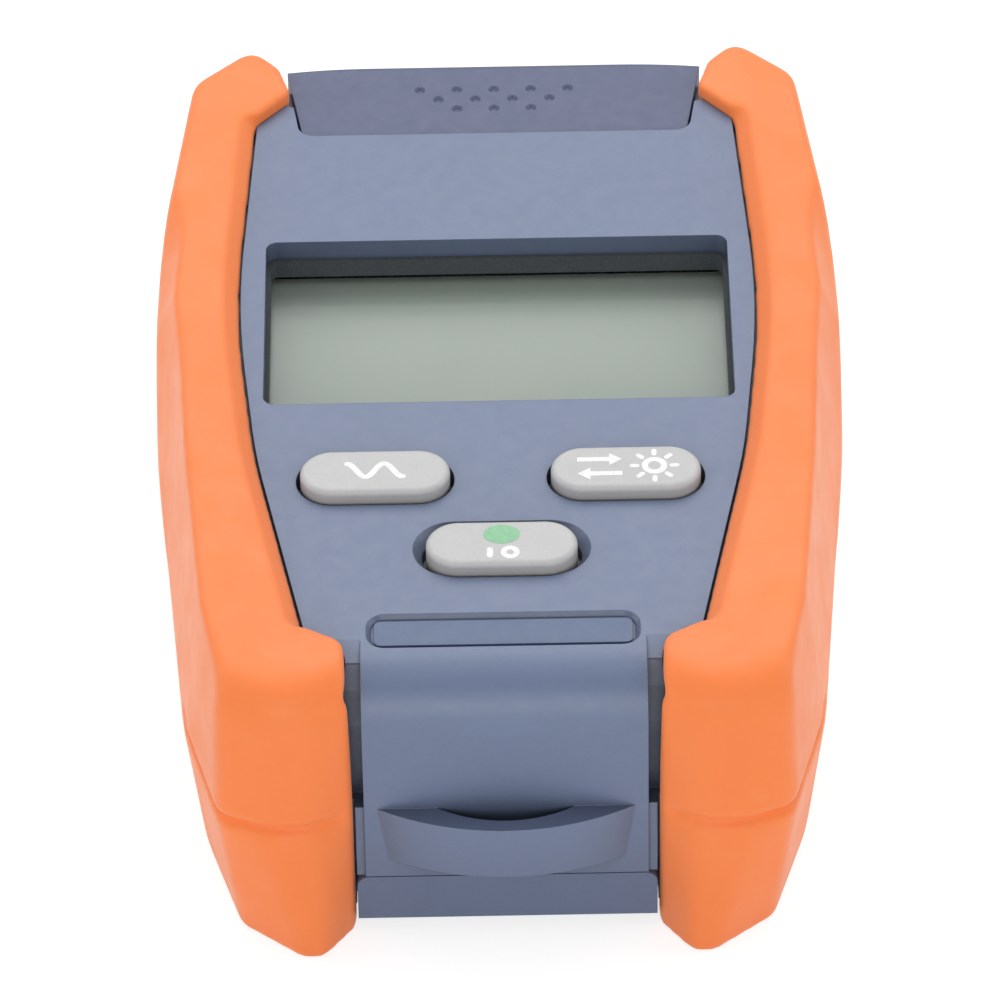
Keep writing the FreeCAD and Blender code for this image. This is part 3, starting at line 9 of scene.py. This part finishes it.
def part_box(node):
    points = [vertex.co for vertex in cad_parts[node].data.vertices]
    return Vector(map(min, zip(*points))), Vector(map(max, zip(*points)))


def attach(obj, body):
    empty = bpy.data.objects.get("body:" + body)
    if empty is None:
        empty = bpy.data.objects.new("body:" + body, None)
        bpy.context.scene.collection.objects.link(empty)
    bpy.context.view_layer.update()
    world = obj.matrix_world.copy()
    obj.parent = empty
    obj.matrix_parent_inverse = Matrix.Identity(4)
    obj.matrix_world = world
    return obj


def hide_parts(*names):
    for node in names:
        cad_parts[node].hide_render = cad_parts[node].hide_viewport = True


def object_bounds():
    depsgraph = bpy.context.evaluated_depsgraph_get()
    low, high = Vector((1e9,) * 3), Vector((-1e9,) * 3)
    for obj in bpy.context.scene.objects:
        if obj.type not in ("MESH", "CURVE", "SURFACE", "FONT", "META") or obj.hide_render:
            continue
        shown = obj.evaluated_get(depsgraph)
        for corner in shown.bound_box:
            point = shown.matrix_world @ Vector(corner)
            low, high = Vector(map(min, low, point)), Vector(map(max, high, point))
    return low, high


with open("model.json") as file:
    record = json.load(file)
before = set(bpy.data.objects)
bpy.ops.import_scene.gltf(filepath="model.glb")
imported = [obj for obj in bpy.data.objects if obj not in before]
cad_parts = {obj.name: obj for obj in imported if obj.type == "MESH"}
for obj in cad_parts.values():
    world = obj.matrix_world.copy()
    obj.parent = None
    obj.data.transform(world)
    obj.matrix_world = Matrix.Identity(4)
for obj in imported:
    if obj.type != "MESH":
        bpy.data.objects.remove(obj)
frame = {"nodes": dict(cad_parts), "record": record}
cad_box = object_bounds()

MM = 0.001
DEGREE = math.radians(1)
NODES = frame["nodes"]
SCENE = bpy.context.scene

# the soft boot
VOXEL = 0.36 * MM
RELAX_STEPS = 26
BOOT_FACES = 180000

# the print on the keys: its height in metres, its line width in millimetres
PRINT_HEIGHT = 0.03 * MM
LINE = 0.74

# the floor: half its side, how far it lies under the meter, and its glow to the camera by
# distance from the meter, where 1 is white
FLOOR_REACH = 3.0
FLOOR_DROP = 0.05 * MM
FLOOR_LIFT = 0.735
FLOOR_NEAR = 0.10
FLOOR_FAR = 0.35

WORLD_STRENGTH = 0.36

CAMERA_ELEVATION = 41 * DEGREE
CAMERA_ROLL = 1.0 * DEGREE
CAMERA_DISTANCE = 0.85
CAMERA_LENS = 258.5


# ---------------------------------------------------------------- node helpers

class Finish:
    """One procedural material: object coordinates in metres feed its patterns."""

    def __init__(self, name, roughness=0.5, **sockets):
        self.material = bpy.data.materials.new(name)
        self.material.use_nodes = True
        self.tree = self.material.node_tree
        self.shader = self.tree.nodes["Principled BSDF"]
        self.place = self.node("ShaderNodeTexCoord").outputs["Object"]
        self.normal = None
        self.shader.inputs["Roughness"].default_value = roughness
        for socket, value in sockets.items():
            self.shader.inputs[socket.replace("_", " ")].default_value = value

    def node(self, kind, **inputs):
        made = self.tree.nodes.new(kind)
        for socket, value in inputs.items():
            self.feed(made.inputs[socket.replace("_", " ")], value)
        return made

    def feed(self, socket, value):
        if isinstance(value, bpy.types.NodeSocket):
            self.tree.links.new(value, socket)
        else:
            socket.default_value = value

    def stretched(self, scale, turn=(0.0, 0.0, 0.0)):
        """Object coordinates scaled by axis, for brushed and layered patterns."""
        mapping = self.node("ShaderNodeMapping", Vector=self.place, Scale=scale, Rotation=turn)
        return mapping.outputs["Vector"]

    def noise(self, size, detail=3.0, place=None, rough=0.5):
        """Noise whose features are about size metres across."""
        made = self.node("ShaderNodeTexNoise", Vector=place or self.place, Scale=1.0 / size,
                         Detail=detail, Roughness=rough)
        return made.outputs["Fac"]

    def cells(self, size):
        made = self.node("ShaderNodeTexVoronoi", Vector=self.place, Scale=1.0 / size)
        return made.outputs["Distance"]

    def ramp(self, value, low, high, start=0.35, stop=0.65):
        """Value spread from low to high; low and high are numbers."""
        made = self.node("ShaderNodeMapRange", Value=value)
        made.inputs["From Min"].default_value = start
        made.inputs["From Max"].default_value = stop
        made.inputs["To Min"].default_value = low
        made.inputs["To Max"].default_value = high
        return made.outputs["Result"]

    def mix(self, factor, first, second):
        made = self.tree.nodes.new("ShaderNodeMix")
        made.data_type = "RGBA"
        self.feed(made.inputs[0], factor)
        self.feed(made.inputs[6], first)
        self.feed(made.inputs[7], second)
        return made.outputs[2]

    def maths(self, operation, first, second):
        made = self.node("ShaderNodeMath")
        made.operation = operation
        self.feed(made.inputs[0], first)
        self.feed(made.inputs[1], second)
        return made.outputs["Value"]

    def axis(self, name):
        return self.node("ShaderNodeSeparateXYZ", Vector=self.place).outputs[name]

    def soften(self, radius):
        """Rounds sharp edges in the shading by a small radius."""
        made = self.node("ShaderNodeBevel", Radius=radius)
        made.samples = 6
        self.normal = made.outputs["Normal"]

    def painted_shade(self, reach, dark):
        """Painted shade: factor that falls to dark in corners and under overhangs nearer than
        reach, to darken a colour where shade falls.
        """
        made = self.node("ShaderNodeAmbientOcclusion", Distance=reach)
        made.samples = 6
        return self.ramp(made.outputs["AO"], dark, 1.0, 0.3, 0.9)

    def bump(self, height, depth, strength=1.0):
        made = self.node("ShaderNodeBump", Height=height, Strength=strength, Distance=depth)
        if self.normal:
            self.feed(made.inputs["Normal"], self.normal)
        self.normal = made.outputs["Normal"]

    def colour(self, value):
        self.feed(self.shader.inputs["Base Color"], value)

    def roughness(self, value):
        self.feed(self.shader.inputs["Roughness"], value)

    def done(self):
        if self.normal:
            self.feed(self.shader.inputs["Normal"], self.normal)
        return self.material


def rgb(red, green, blue):
    return (red, green, blue, 1.0)


# ---------------------------------------------------------------- materials

def moulded(name, colour, shade, grain=0.25, depth=0.006, rough=(0.42, 0.52), edge=0.15,
            reach=0.0, dark=0.6, **sockets):
    """Moulded plastic: fine grain, faint mottling, softened edges, and painted shade that darkens
    the colour in recesses.

    grain, depth, edge and reach are in millimetres; a reach of 0 paints no shade into the
    recesses.
    """
    finish = Finish(name, **sockets)
    mottle = finish.noise(9 * MM, 4.0)
    speckle = finish.noise(0.5 * MM, 2.0)
    base = finish.mix(finish.ramp(mottle, 0.0, 1.0), rgb(*colour), rgb(*shade))
    base = finish.mix(finish.ramp(speckle, 0.0, 0.10), base, rgb(*[0.6 * c for c in colour]))
    # painted shade: ambient occlusion darkens the colour to dark times itself in recesses and
    # under overhangs
    if reach:
        base = finish.mix(finish.painted_shade(reach * MM, 0.0), rgb(*[dark * c for c in colour]), base)
    finish.colour(base)
    finish.roughness(finish.ramp(finish.noise(1.5 * MM, 4.0), *rough))
    finish.soften(edge * MM)
    finish.bump(finish.noise(grain * MM, 3.0, rough=0.6), depth * MM)
    finish.bump(finish.noise(14 * MM, 1.0), 0.010 * MM)
    return finish.done()


def rubber(name, colour, shade, dust):
    """Overmoulded elastomer: satin skin with sheen, fine grain and slow flow marks."""
    finish = Finish(name, Sheen_Weight=0.22, Sheen_Roughness=0.45, Specular_IOR_Level=0.45)
    finish.shader.inputs["Sheen Tint"].default_value = rgb(1.0, 0.86, 0.76)
    flow = finish.noise(16 * MM, 3.0, finish.stretched((1.0, 0.45, 1.0)))
    base = finish.mix(finish.ramp(flow, 0.0, 1.0), rgb(*colour), rgb(*shade))
    handled = finish.noise(1.6 * MM, 5.0, rough=0.7)
    base = finish.mix(finish.ramp(handled, 0.0, 0.12, 0.55, 0.8), base, rgb(*dust))
    finish.colour(base)
    finish.roughness(finish.ramp(finish.noise(5 * MM, 5.0, rough=0.6), 0.46, 0.60))
    finish.soften(0.45 * MM)
    finish.bump(finish.noise(0.35 * MM, 2.0), 0.010 * MM)
    finish.bump(finish.noise(18 * MM, 1.0), 0.03 * MM)
    return finish.done()


def turned_metal(name, colour, shade, rough, lines=0.12):
    """Machined metal with tool marks round its own axis."""
    finish = Finish(name, Metallic=1.0)
    marks = finish.noise(lines * MM, 2.0, finish.stretched((0.015, 1.0, 0.015)))
    stain = finish.noise(5 * MM, 2.0)
    finish.colour(finish.mix(finish.ramp(stain, 0.0, 1.0), rgb(*colour), rgb(*shade)))
    finish.roughness(finish.ramp(marks, rough - 0.03, rough + 0.05))
    finish.soften(0.08 * MM)
    finish.bump(marks, 0.003 * MM)
    return finish.done()


def foam(name, colour, shade):
    finish = Finish(name, roughness=0.9)
    pores = finish.cells(0.35 * MM)
    finish.colour(finish.mix(finish.ramp(pores, 0.0, 1.0, 0.1, 0.6), rgb(*colour), rgb(*shade)))
    finish.bump(pores, 0.08 * MM)
    return finish.done()


def clear_window(name):
    """Thin clear window: see-through, with a sharp reflection that grows at a slant."""
    finish = Finish(name)
    tree = finish.tree
    clear = finish.node("ShaderNodeBsdfTransparent", Color=rgb(0.97, 0.985, 0.98))
    smear = finish.ramp(finish.noise(7 * MM, 3.0), 0.13, 0.17)
    gloss = finish.node("ShaderNodeBsdfGlossy", Color=rgb(1.0, 1.0, 1.0), Roughness=smear)
    slant = finish.node("ShaderNodeLayerWeight", Blend=0.5).outputs["Facing"]
    steep = finish.maths("POWER", slant, 5.0)
    blend = finish.node("ShaderNodeMixShader", Fac=finish.ramp(steep, 0.014, 1.0, 0.0, 1.0))
    tree.links.new(clear.outputs["BSDF"], blend.inputs[1])
    tree.links.new(gloss.outputs["BSDF"], blend.inputs[2])
    tree.links.new(blend.outputs["Shader"], tree.nodes["Material Output"].inputs["Surface"])
    return finish.material


def display(name):
    """Reflective display at rest: grey-green, with slow clouding and faint flecks."""
    finish = Finish(name, Specular_IOR_Level=0.3)
    cloud = finish.noise(22 * MM, 2.0)
    fleck = finish.noise(0.5 * MM, 2.0)
    base = finish.mix(finish.ramp(cloud, 0.0, 1.0), rgb(0.312, 0.338, 0.306),
                      rgb(0.302, 0.327, 0.296))
    base = finish.mix(finish.ramp(fleck, 0.0, 0.03), base, rgb(0.22, 0.24, 0.22))
    finish.colour(base)
    finish.roughness(finish.ramp(cloud, 0.50, 0.56))
    return finish.done()


def solder_mask(name):
    finish = Finish(name, Coat_Weight=0.4, Coat_Roughness=0.15)
    brick = finish.node("ShaderNodeTexBrick", Vector=finish.place, Scale=1.0 / (3.2 * MM),
                        Mortar_Size=0.045, Color1=rgb(0.012, 0.13, 0.05),
                        Color2=rgb(0.015, 0.15, 0.06), Mortar=rgb(0.03, 0.26, 0.10))
    finish.colour(brick.outputs["Color"])
    finish.roughness(finish.ramp(finish.noise(2 * MM), 0.3, 0.45))
    finish.bump(brick.outputs["Fac"], 0.03 * MM)
    return finish.done()


def cell_jacket(name, band):
    """Battery jacket: dark film, with a warm metallic band past the given place along Y."""
    finish = Finish(name, Metallic=0.55, Coat_Weight=0.6, Coat_Roughness=0.12)
    past_band = finish.maths("GREATER_THAN", finish.axis("Y"), band)
    scuff = finish.noise(1.2 * MM, 6.0, rough=0.7)
    worn = finish.ramp(scuff, 0.0, 0.3, 0.5, 0.8)
    dark = finish.mix(worn, rgb(0.03, 0.032, 0.036), rgb(0.10, 0.10, 0.10))
    warm = finish.mix(worn, rgb(0.55, 0.26, 0.09), rgb(0.40, 0.20, 0.08))
    finish.colour(finish.mix(past_band, dark, warm))
    finish.roughness(finish.ramp(finish.noise(3 * MM, 4.0), 0.24, 0.36))
    return finish.done()


def layered_strip(name):
    """Elastomer contact strip: thin dark and pale layers along X."""
    finish = Finish(name, roughness=0.7)
    wave = finish.node("ShaderNodeTexWave", Vector=finish.place, Scale=1.0 / (1.6 * MM),
                       Distortion=0.4)
    wave.bands_direction = "X"
    finish.colour(finish.mix(wave.outputs["Fac"], rgb(0.05, 0.05, 0.05), rgb(0.75, 0.55, 0.58)))
    finish.bump(finish.noise(0.4 * MM), 0.01 * MM)
    return finish.done()


def printed(name, colour):
    """Screen-printed ink: dense, slightly raised and a little uneven."""
    finish = Finish(name)
    uneven = finish.noise(0.6 * MM, 4.0)
    thin = rgb(*[0.9 * c for c in colour])
    finish.colour(finish.mix(finish.ramp(uneven, 0.0, 1.0), rgb(*colour), thin))
    finish.roughness(finish.ramp(uneven, 0.45, 0.6))
    finish.bump(uneven, 0.01 * MM)
    return finish.done()


def make_materials():
    metal = turned_metal("drawn_steel", (0.62, 0.61, 0.59), (0.50, 0.49, 0.47), 0.32)
    return {
        "boot_rubber": rubber("boot_rubber", (0.95, 0.236, 0.056), (0.93, 0.222, 0.050),
                              (0.96, 0.40, 0.20)),
        # painted shade: the shell's colour falls to 0.30 of itself in recesses and under
        # overhangs within 24 mm
        "shell_plastic": moulded("shell_plastic", (0.120, 0.163, 0.280), (0.117, 0.159, 0.273),
                                 rough=(0.44, 0.50), reach=24.0, dark=0.30,
                                 Specular_IOR_Level=0.85),
        "cover_plastic": moulded("cover_plastic", (0.096, 0.115, 0.207), (0.093, 0.112, 0.202)),
        "door_plastic": moulded("door_plastic", (0.114, 0.146, 0.240), (0.107, 0.138, 0.228),
                                grain=0.4, depth=0.012),
        # painted shade: the keys' colour falls to 0.7 of itself in corners within 3 mm, low on
        # their sides
        "key_plastic": moulded("key_plastic", (0.53, 0.53, 0.53), (0.51, 0.51, 0.512),
                               grain=0.18, depth=0.003, rough=(0.40, 0.50), edge=0.2,
                               reach=3.0, dark=0.7),
        "inlay_plastic": moulded("inlay_plastic", (0.086, 0.126, 0.236), (0.083, 0.122, 0.230),
                                 depth=0.002, rough=(0.34, 0.42)),
        "gasket_black": foam("gasket_black", (0.046, 0.054, 0.060), (0.056, 0.064, 0.070)),
        "seal_foam": foam("seal_foam", (0.030, 0.030, 0.033), (0.060, 0.060, 0.064)),
        "lens_clear": clear_window("lens_clear"),
        "lcd_grey": display("lcd_grey"),
        "light_guide": moulded("light_guide", (0.80, 0.80, 0.78), (0.76, 0.76, 0.74)),
        "strip_rubber": layered_strip("strip_rubber"),
        "board_green": solder_mask("board_green"),
        "chip_black": moulded("chip_black", (0.030, 0.030, 0.031), (0.036, 0.036, 0.037),
                              grain=0.1, depth=0.004),
        "switch_black": moulded("switch_black", (0.04, 0.04, 0.042), (0.05, 0.05, 0.05)),
        "port_metal": turned_metal("port_metal", (0.74, 0.72, 0.68), (0.71, 0.69, 0.65), 0.24),
        "cap_metal": turned_metal("cap_metal", (0.70, 0.70, 0.71), (0.67, 0.67, 0.68), 0.30),
        "sleeve_ceramic": moulded("sleeve_ceramic", (0.80, 0.79, 0.75), (0.77, 0.76, 0.72),
                                  depth=0.001, rough=(0.16, 0.24), edge=0.05),
        "detector_can": turned_metal("detector_can", (0.66, 0.62, 0.50), (0.58, 0.54, 0.44),
                                     0.28),
        "pin_steel": metal,
        "screw_steel": metal,
        "spring_steel": turned_metal("spring_steel", (0.70, 0.69, 0.66), (0.60, 0.58, 0.54),
                                     0.25),
        "cell_jacket": cell_jacket("cell_jacket", -6 * MM),
    }


# ---------------------------------------------------------------- soft boot

def make_boot(material):
    """The boot as a soft moulding: the solid's form with all its edges rounded over."""
    piece = bpy.data.objects.new("soft_boot", NODES["boot"].data.copy())
    SCENE.collection.objects.link(piece)
    remesh = piece.modifiers.new("remesh", "REMESH")
    remesh.mode = "VOXEL"
    remesh.voxel_size = VOXEL
    relax = piece.modifiers.new("relax", "SMOOTH")
    relax.factor = 0.5
    relax.iterations = RELAX_STEPS
    evaluated = piece.evaluated_get(bpy.context.evaluated_depsgraph_get())
    dense = bpy.data.meshes.new_from_object(evaluated)
    piece.modifiers.clear()
    piece.data = dense
    thin = piece.modifiers.new("thin", "DECIMATE")
    thin.ratio = BOOT_FACES / (2 * len(dense.polygons))
    evaluated = piece.evaluated_get(bpy.context.evaluated_depsgraph_get())
    piece.data = bpy.data.meshes.new_from_object(evaluated)
    piece.modifiers.clear()
    piece.data.shade_smooth()
    piece.data.materials.clear()
    piece.data.materials.append(material)
    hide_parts("boot")
    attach(piece, "case")


# ---------------------------------------------------------------- printed legends on the keys

def stroke(points, width):
    """Line of the given width with round ends, as polygons that share their edges."""
    half = width / 2
    path = [Vector(point) for point in points]
    pairs = []
    for i, point in enumerate(path):
        ahead = path[min(i + 1, len(path) - 1)] - path[max(i - 1, 0)]
        across = Vector((-ahead.y, ahead.x)).normalized() * half
        pairs.append((point + across, point - across))

    def cap(centre, start):
        turns = [-math.pi * k / 8 for k in range(1, 8)]
        return [centre + Matrix.Rotation(turn, 2) @ (start - centre) for turn in turns]

    polygons = [[a, c, d, b] for (a, b), (c, d) in zip(pairs, pairs[1:])]
    first, last = pairs[0], pairs[-1]
    polygons.append([last[0], *cap(path[-1], last[0]), last[1]])
    polygons.append([first[1], *cap(path[0], first[1]), first[0]])
    return polygons


def arc(x, y, radius, start, stop, steps=28):
    """Points on an arc, with angles in degrees."""
    turns = [math.radians(start + (stop - start) * k / steps) for k in range(steps + 1)]
    return [(x + radius * math.cos(t), y + radius * math.sin(t)) for t in turns]


def legend(name, node, outlines, material):
    """Thin raised print on a key's top; outlines are in millimetres from the key's middle."""
    low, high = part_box(node)
    middle = (low + high) / 2
    mesh = bpy.data.meshes.new(name)
    shape = bmesh.new()
    for outline in outlines:
        shape.faces.new([shape.verts.new((middle.x + x * MM, middle.y + y * MM, high.z))
                         for x, y in outline])
    bmesh.ops.remove_doubles(shape, verts=shape.verts, dist=0.002 * MM)
    raised = bmesh.ops.extrude_face_region(shape, geom=shape.faces[:])
    top = [item for item in raised["geom"] if isinstance(item, bmesh.types.BMVert)]
    bmesh.ops.translate(shape, verts=top, vec=(0, 0, PRINT_HEIGHT))
    bmesh.ops.recalc_face_normals(shape, faces=shape.faces)
    shape.to_mesh(mesh)
    shape.free()
    piece = bpy.data.objects.new(name, mesh)
    SCENE.collection.objects.link(piece)
    mesh.materials.append(material)
    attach(piece, node)


def ring(x, y, radius, width, steps=40):
    """Closed band round a centre, as quads of (x, y) pairs."""
    quads = []
    for k in range(steps):
        quad = []
        for turn, reach in ((k, 0.5), (k + 1, 0.5), (k + 1, -0.5), (k, -0.5)):
            angle = 2 * math.pi * turn / steps
            quad.append((x + (radius + reach * width) * math.cos(angle),
                         y + (radius + reach * width) * math.sin(angle)))
        quads.append(quad)
    return quads


def arrow(x, y, length, side):
    """Outline of an arrow along X that points to side."""
    half = length / 2
    neck = half - 1.5
    profile = [(-half, -LINE / 2), (neck, -LINE / 2), (neck, -1.05), (half, 0.0),
               (neck, 1.05), (neck, LINE / 2), (-half, LINE / 2)]
    return [(x + side * along, y + side * across) for along, across in profile]


def make_legends():
    white = printed("white_ink", (0.90, 0.90, 0.90))
    green = printed("green_ink", (0.27, 0.56, 0.33))
    wave = [(x / 10, 1.15 * math.sin(1.5 * math.pi * x / 32)) for x in range(-32, 33)]
    legend("wave_legend", "key_left", stroke(wave, LINE), white)
    sun = ring(3.3, 0, 1.1, LINE)
    for k in range(8):
        ray = arc(3.3, 0, 2.0, 45 * k, 45 * k, 1)[:1] + arc(3.3, 0, 2.6, 45 * k, 45 * k, 1)[:1]
        sun += stroke(ray, 0.8 * LINE)
    arrows = [arrow(-3.0, 1.25, 5.2, 1), arrow(-3.0, -1.25, 5.2, -1)]
    legend("unit_light_legend", "key_right", arrows + sun, white)
    disc = [(2.1 * math.cos(math.pi * k / 24), 1.25 + 1.6 * math.sin(math.pi * k / 24))
            for k in range(48)]
    legend("ready_legend", "key_power", [disc], green)
    bar = stroke([(-1.35, -2.35), (-1.35, -1.35)], LINE)
    legend("power_legend", "key_power", bar + ring(0.95, -1.85, 0.75, 0.9 * LINE), white)


# ---------------------------------------------------------------- floor, light and camera

def make_floor():
    """Pale floor: near white to the camera, with the meter's shadow, and white further out."""
    mesh = bpy.data.meshes.new("floor")
    corners = [(x * FLOOR_REACH, y * FLOOR_REACH, -FLOOR_DROP)
               for x, y in ((-1, -1), (1, -1), (1, 1), (-1, 1))]
    mesh.from_pydata(corners, [], [(0, 1, 2, 3)])
    floor = bpy.data.objects.new("floor", mesh)
    SCENE.collection.objects.link(floor)
    finish = Finish("floor", roughness=0.9)
    path = finish.node("ShaderNodeLightPath")
    seen = finish.maths("MAXIMUM", path.outputs["Is Camera Ray"], path.outputs["Is Glossy Ray"])
    faint = finish.ramp(finish.noise(0.2, 2.0), 0.0, 1.0)
    pale = finish.mix(faint, rgb(0.86, 0.86, 0.86), rgb(0.85, 0.85, 0.85))
    far = finish.node("ShaderNodeVectorMath", Vector=finish.place)
    far.operation = "LENGTH"
    away = far.outputs["Value"]
    outside = finish.ramp(away, 0.0, 1.0, FLOOR_NEAR, FLOOR_FAR)
    seen_colour = finish.mix(outside, rgb(0.42, 0.42, 0.42), rgb(0.0, 0.0, 0.0))
    finish.colour(finish.mix(seen, pale, seen_colour))
    finish.feed(finish.shader.inputs["Emission Color"], rgb(1.0, 1.0, 1.0))
    lift = finish.ramp(away, FLOOR_LIFT, 1.0, FLOOR_NEAR, FLOOR_FAR)
    glow = finish.maths("MULTIPLY", seen, lift)
    finish.feed(finish.shader.inputs["Emission Strength"], glow)
    mesh.materials.append(finish.done())


def make_world():
    """Even studio surround; camera and glass rays see plain white."""
    world = bpy.data.worlds.new("studio")
    world.use_nodes = True
    SCENE.world = world
    tree = world.node_tree
    dim = tree.nodes["Background"]
    dim.inputs["Color"].default_value = rgb(1.0, 1.0, 1.0)
    dim.inputs["Strength"].default_value = WORLD_STRENGTH
    bright = tree.nodes.new("ShaderNodeBackground")
    bright.inputs["Color"].default_value = rgb(1.0, 1.0, 1.0)
    path = tree.nodes.new("ShaderNodeLightPath")
    either = tree.nodes.new("ShaderNodeMath")
    either.operation = "MAXIMUM"
    tree.links.new(path.outputs["Is Camera Ray"], either.inputs[0])
    tree.links.new(path.outputs["Is Transmission Ray"], either.inputs[1])
    blend = tree.nodes.new("ShaderNodeMixShader")
    tree.links.new(either.outputs["Value"], blend.inputs["Fac"])
    tree.links.new(dim.outputs["Background"], blend.inputs[1])
    tree.links.new(bright.outputs["Background"], blend.inputs[2])
    tree.links.new(blend.outputs["Shader"], tree.nodes["World Output"].inputs["Surface"])


def softbox(name, azimuth, elevation, distance, width, height, power):
    """Rectangular lamp that faces the meter; azimuth 0 is the lanyard side, 90 the right."""
    lamp = bpy.data.lights.new(name, "AREA")
    lamp.shape = "RECTANGLE"
    lamp.size = width
    lamp.size_y = height
    lamp.energy = power
    away = Vector((math.sin(azimuth) * math.cos(elevation),
                   -math.cos(azimuth) * math.cos(elevation),
                   math.sin(elevation)))
    holder = bpy.data.objects.new(name, lamp)
    holder.location = away * distance
    holder.rotation_euler = away.to_track_quat("Z", "Y").to_euler()
    SCENE.collection.objects.link(holder)


def make_lights():
    softbox("rear_softbox", 180 * DEGREE, 49 * DEGREE, 0.95, 1.1, 0.7, 5.8)
    softbox("top_softbox", 0, 86 * DEGREE, 1.0, 0.5, 0.5, 0.8)
    softbox("front_softbox", 0, 24 * DEGREE, 1.0, 0.9, 0.5, 3.9)
    softbox("left_softbox", -95 * DEGREE, 30 * DEGREE, 1.0, 0.6, 0.6, 2.0)
    softbox("right_softbox", 95 * DEGREE, 30 * DEGREE, 1.0, 0.6, 0.6, 2.0)


def make_camera():
    """Long lens from the lanyard side, looking down on the face."""
    low, high = cad_box
    target = Vector((0.0, (low[1] + high[1]) / 2 - 4 * MM, (high[2] - low[2]) / 2))
    back = Vector((0, -math.cos(CAMERA_ELEVATION), math.sin(CAMERA_ELEVATION)))
    level = Vector((1, 0, 0))
    upright = back.cross(level)
    right = level * math.cos(CAMERA_ROLL) - upright * math.sin(CAMERA_ROLL)
    up = level * math.sin(CAMERA_ROLL) + upright * math.cos(CAMERA_ROLL)
    lens = bpy.data.cameras.new("camera")
    lens.lens = CAMERA_LENS
    lens.sensor_width = 36.0
    lens.shift_x = -0.001
    lens.shift_y = 0.005
    lens.clip_start = 0.01
    camera = bpy.data.objects.new("camera", lens)
    pose = Matrix((right, up, back)).transposed().to_4x4()
    pose.translation = target + back * CAMERA_DISTANCE
    camera.matrix_world = pose
    SCENE.collection.objects.link(camera)
    SCENE.camera = camera


# ---------------------------------------------------------------- dressing

def dress(materials):
    """Each CAD node takes the material of its slot in the record."""
    for part in frame["record"]["subparts"]:
        NODES[part["node"]].material_slots[0].material = materials[part["material_slot"]]


SCENE.view_settings.view_transform = "Standard"
make_camera()
make_world()
make_lights()
make_floor()
materials = make_materials()
dress(materials)
make_boot(materials["boot_rubber"])
make_legends()
